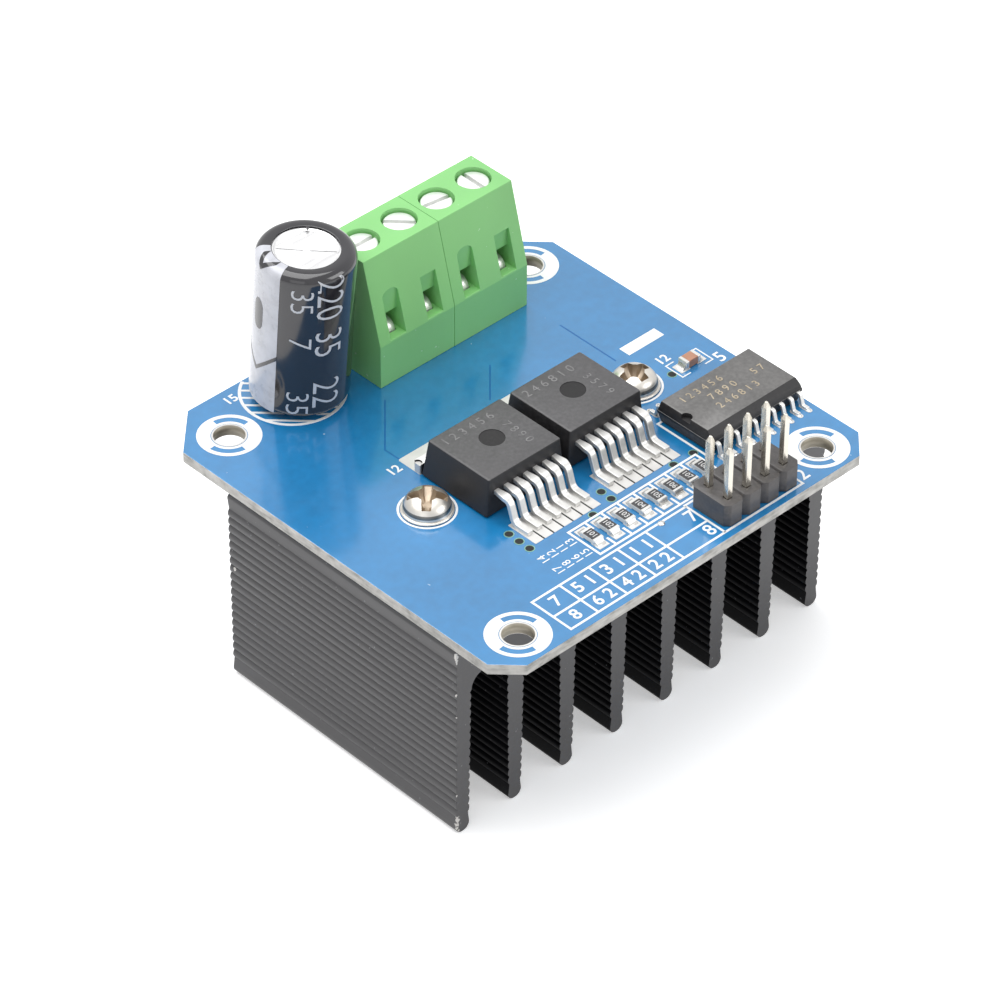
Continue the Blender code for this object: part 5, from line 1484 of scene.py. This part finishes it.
RESISTOR_NUMBERS = ((-15.2, ("14", "12", "11", "13")), (-17.3, ("17", "18", "16", "15")))
COPPER_GAPS = (
    [(-5.2, 12.99), (-10.5, 7.24), (-10.41, 3.77)], [(6.17, 9.96), (2.31, 5.91)],
    [(15.76, 9.87), (15.71, 1.85)],
)


def add_hole_rings(ink):
    """Rings round the holes; those of the mounting holes have two open arcs in them."""
    for place in MOUNT_HOLES:
        loops = [circle(place, 3.23, 64), circle(place, 1.84, 48)]
        for facing in (45.0, 225.0):
            start, end = facing - 39.0, facing + 39.0
            loops.append(arc(place, 2.78, start, end, 12) + arc(place, 2.14, end, start, 12))
        add_plate(ink, loops, TOP, INK)
    for place in FIXINGS:
        add_ring(ink, place, 2.95, 2.72, TOP, INK, 56)


def add_table(ink):
    """The table beside the header, with the header's own box at its right end."""
    left, right = TABLE_X[0], TABLE_X[-1]
    upper, centre, lower = TABLE_Y
    far, near = HEADER_CORNER
    outline = [(right, upper), (left, upper), (left, lower), (far, lower), (far, near), (right, near)]
    add_stroke(ink, outline + [(right, lower)], LINE)
    add_stroke(ink, [(left, centre), (right, centre)], LINE, INK - CROSSING)
    for x in TABLE_X[1:-1]:
        add_stroke(ink, [(x, lower), (x, upper)], LINE, INK - 2 * CROSSING)
    columns = zip(TABLE_X[:-2], TABLE_X[1:-1], *TABLE_NUMBERS)
    for x0, x1, upper_text, lower_text in columns:
        x = (x0 + x1) / 2
        add_print(ink, upper_text, 1.45, (x, (upper + centre) / 2), weight=0.03)
        add_print(ink, lower_text, 1.4, (x, (centre + lower) / 2), weight=0.03)


def add_part_marks(ink):
    """The bracket at the logic chip's end, and lines round the resistors and the ceramic capacitor."""
    add_stroke(ink, [(12.4, -8.1), (11.6, -8.1), (11.6, -15.1), (12.4, -15.1)], LINE)
    (x0, x1), (y0, y1) = ROW_X, ROW_Y
    add_stroke(ink, [(x0, y0), (x0, y1), (x1, y1), (x1, y0)], LINE, closed=True)
    for i in range(1, 8):
        x = x0 + ROW_STEP * i
        add_stroke(ink, [(x, y0), (x, -17.0)], LINE, INK - CROSSING)
        add_stroke(ink, [(x, -15.2), (x, y1)], LINE, INK - CROSSING)
    for x, dx in ((18.67, 1.1), (22.9, -1.1)):
        add_stroke(ink, [(x + dx, -2.17), (x, -2.17), (x, -4.57), (x + dx, -4.57)], 0.14)


def add_can_ring(ink):
    """The ring round the can and the hatching in it, both open at the board's back edge."""
    cut = math.degrees(math.asin((INK_END - CAN_RING_CENTRE.y) / CAN_RING_RADIUS))
    ring = arc(CAN_RING_CENTRE, CAN_RING_RADIUS, 180.0 - cut, 360.0 + cut, 56)
    add_stroke(ink, ring, 0.32)
    turn = Matrix.Rotation(math.radians(45.0), 2)
    for i in range(-4, 5):
        offset = 1.15 * i
        half = math.sqrt(CAN_RING_RADIUS ** 2 - offset ** 2)
        ends = [CAN_RING_CENTRE + turn @ Vector((offset, side * half)) for side in (-1, 1)]
        spare = max(0.0, ends[1].y - INK_END)
        ends[1] += Vector((spare, -spare))
        add_stroke(ink, ends, 0.28, INK - CROSSING)


def build_silkscreen():
    ink = bmesh.new()
    add_hole_rings(ink)
    add_table(ink)
    add_part_marks(ink)
    add_can_ring(ink)
    add_prism(ink, rectangle(*WHITE_BAR), TOP, INK)
    for text, height, place, weight in LOOSE_NUMBERS:
        add_print(ink, text, height, place, weight=weight)
    for y, row in RESISTOR_NUMBERS:
        for i, text in enumerate(row):
            add_print(ink, text, 0.95, (-10.7 + 1.2 * i, y), 90.0, squeeze=0.9)
    piece("silkscreen_print", ink, [SILK])
    gaps = bmesh.new()
    for path in COPPER_GAPS:
        add_stroke(gaps, path, 0.16, TOP + 0.006)
    piece("copper_gaps", gaps, [DARK_MASK])


bpy.context.scene.view_settings.view_transform = "Standard"
make_camera()
make_world()
make_floor()
for light in LIGHTS:
    make_light(*light)
build_board()
build_pads()
build_vias()
build_heatsink()
build_fixing("heatsink_screw_left", 44.0, 2.1)
build_fixing("heatsink_screw_right", -2.0, 1.65)
build_driver("left", ("1 2 3 4 5 6", "7 8 9 0"))
build_driver("right", ("2 4 6 8 1 0", "3 5 7 9"))
build_logic_chip()
build_chip_parts()
build_sleeve()
build_can()
build_can_print()
build_terminals()
build_header()
build_underside_solder()
build_silkscreen()
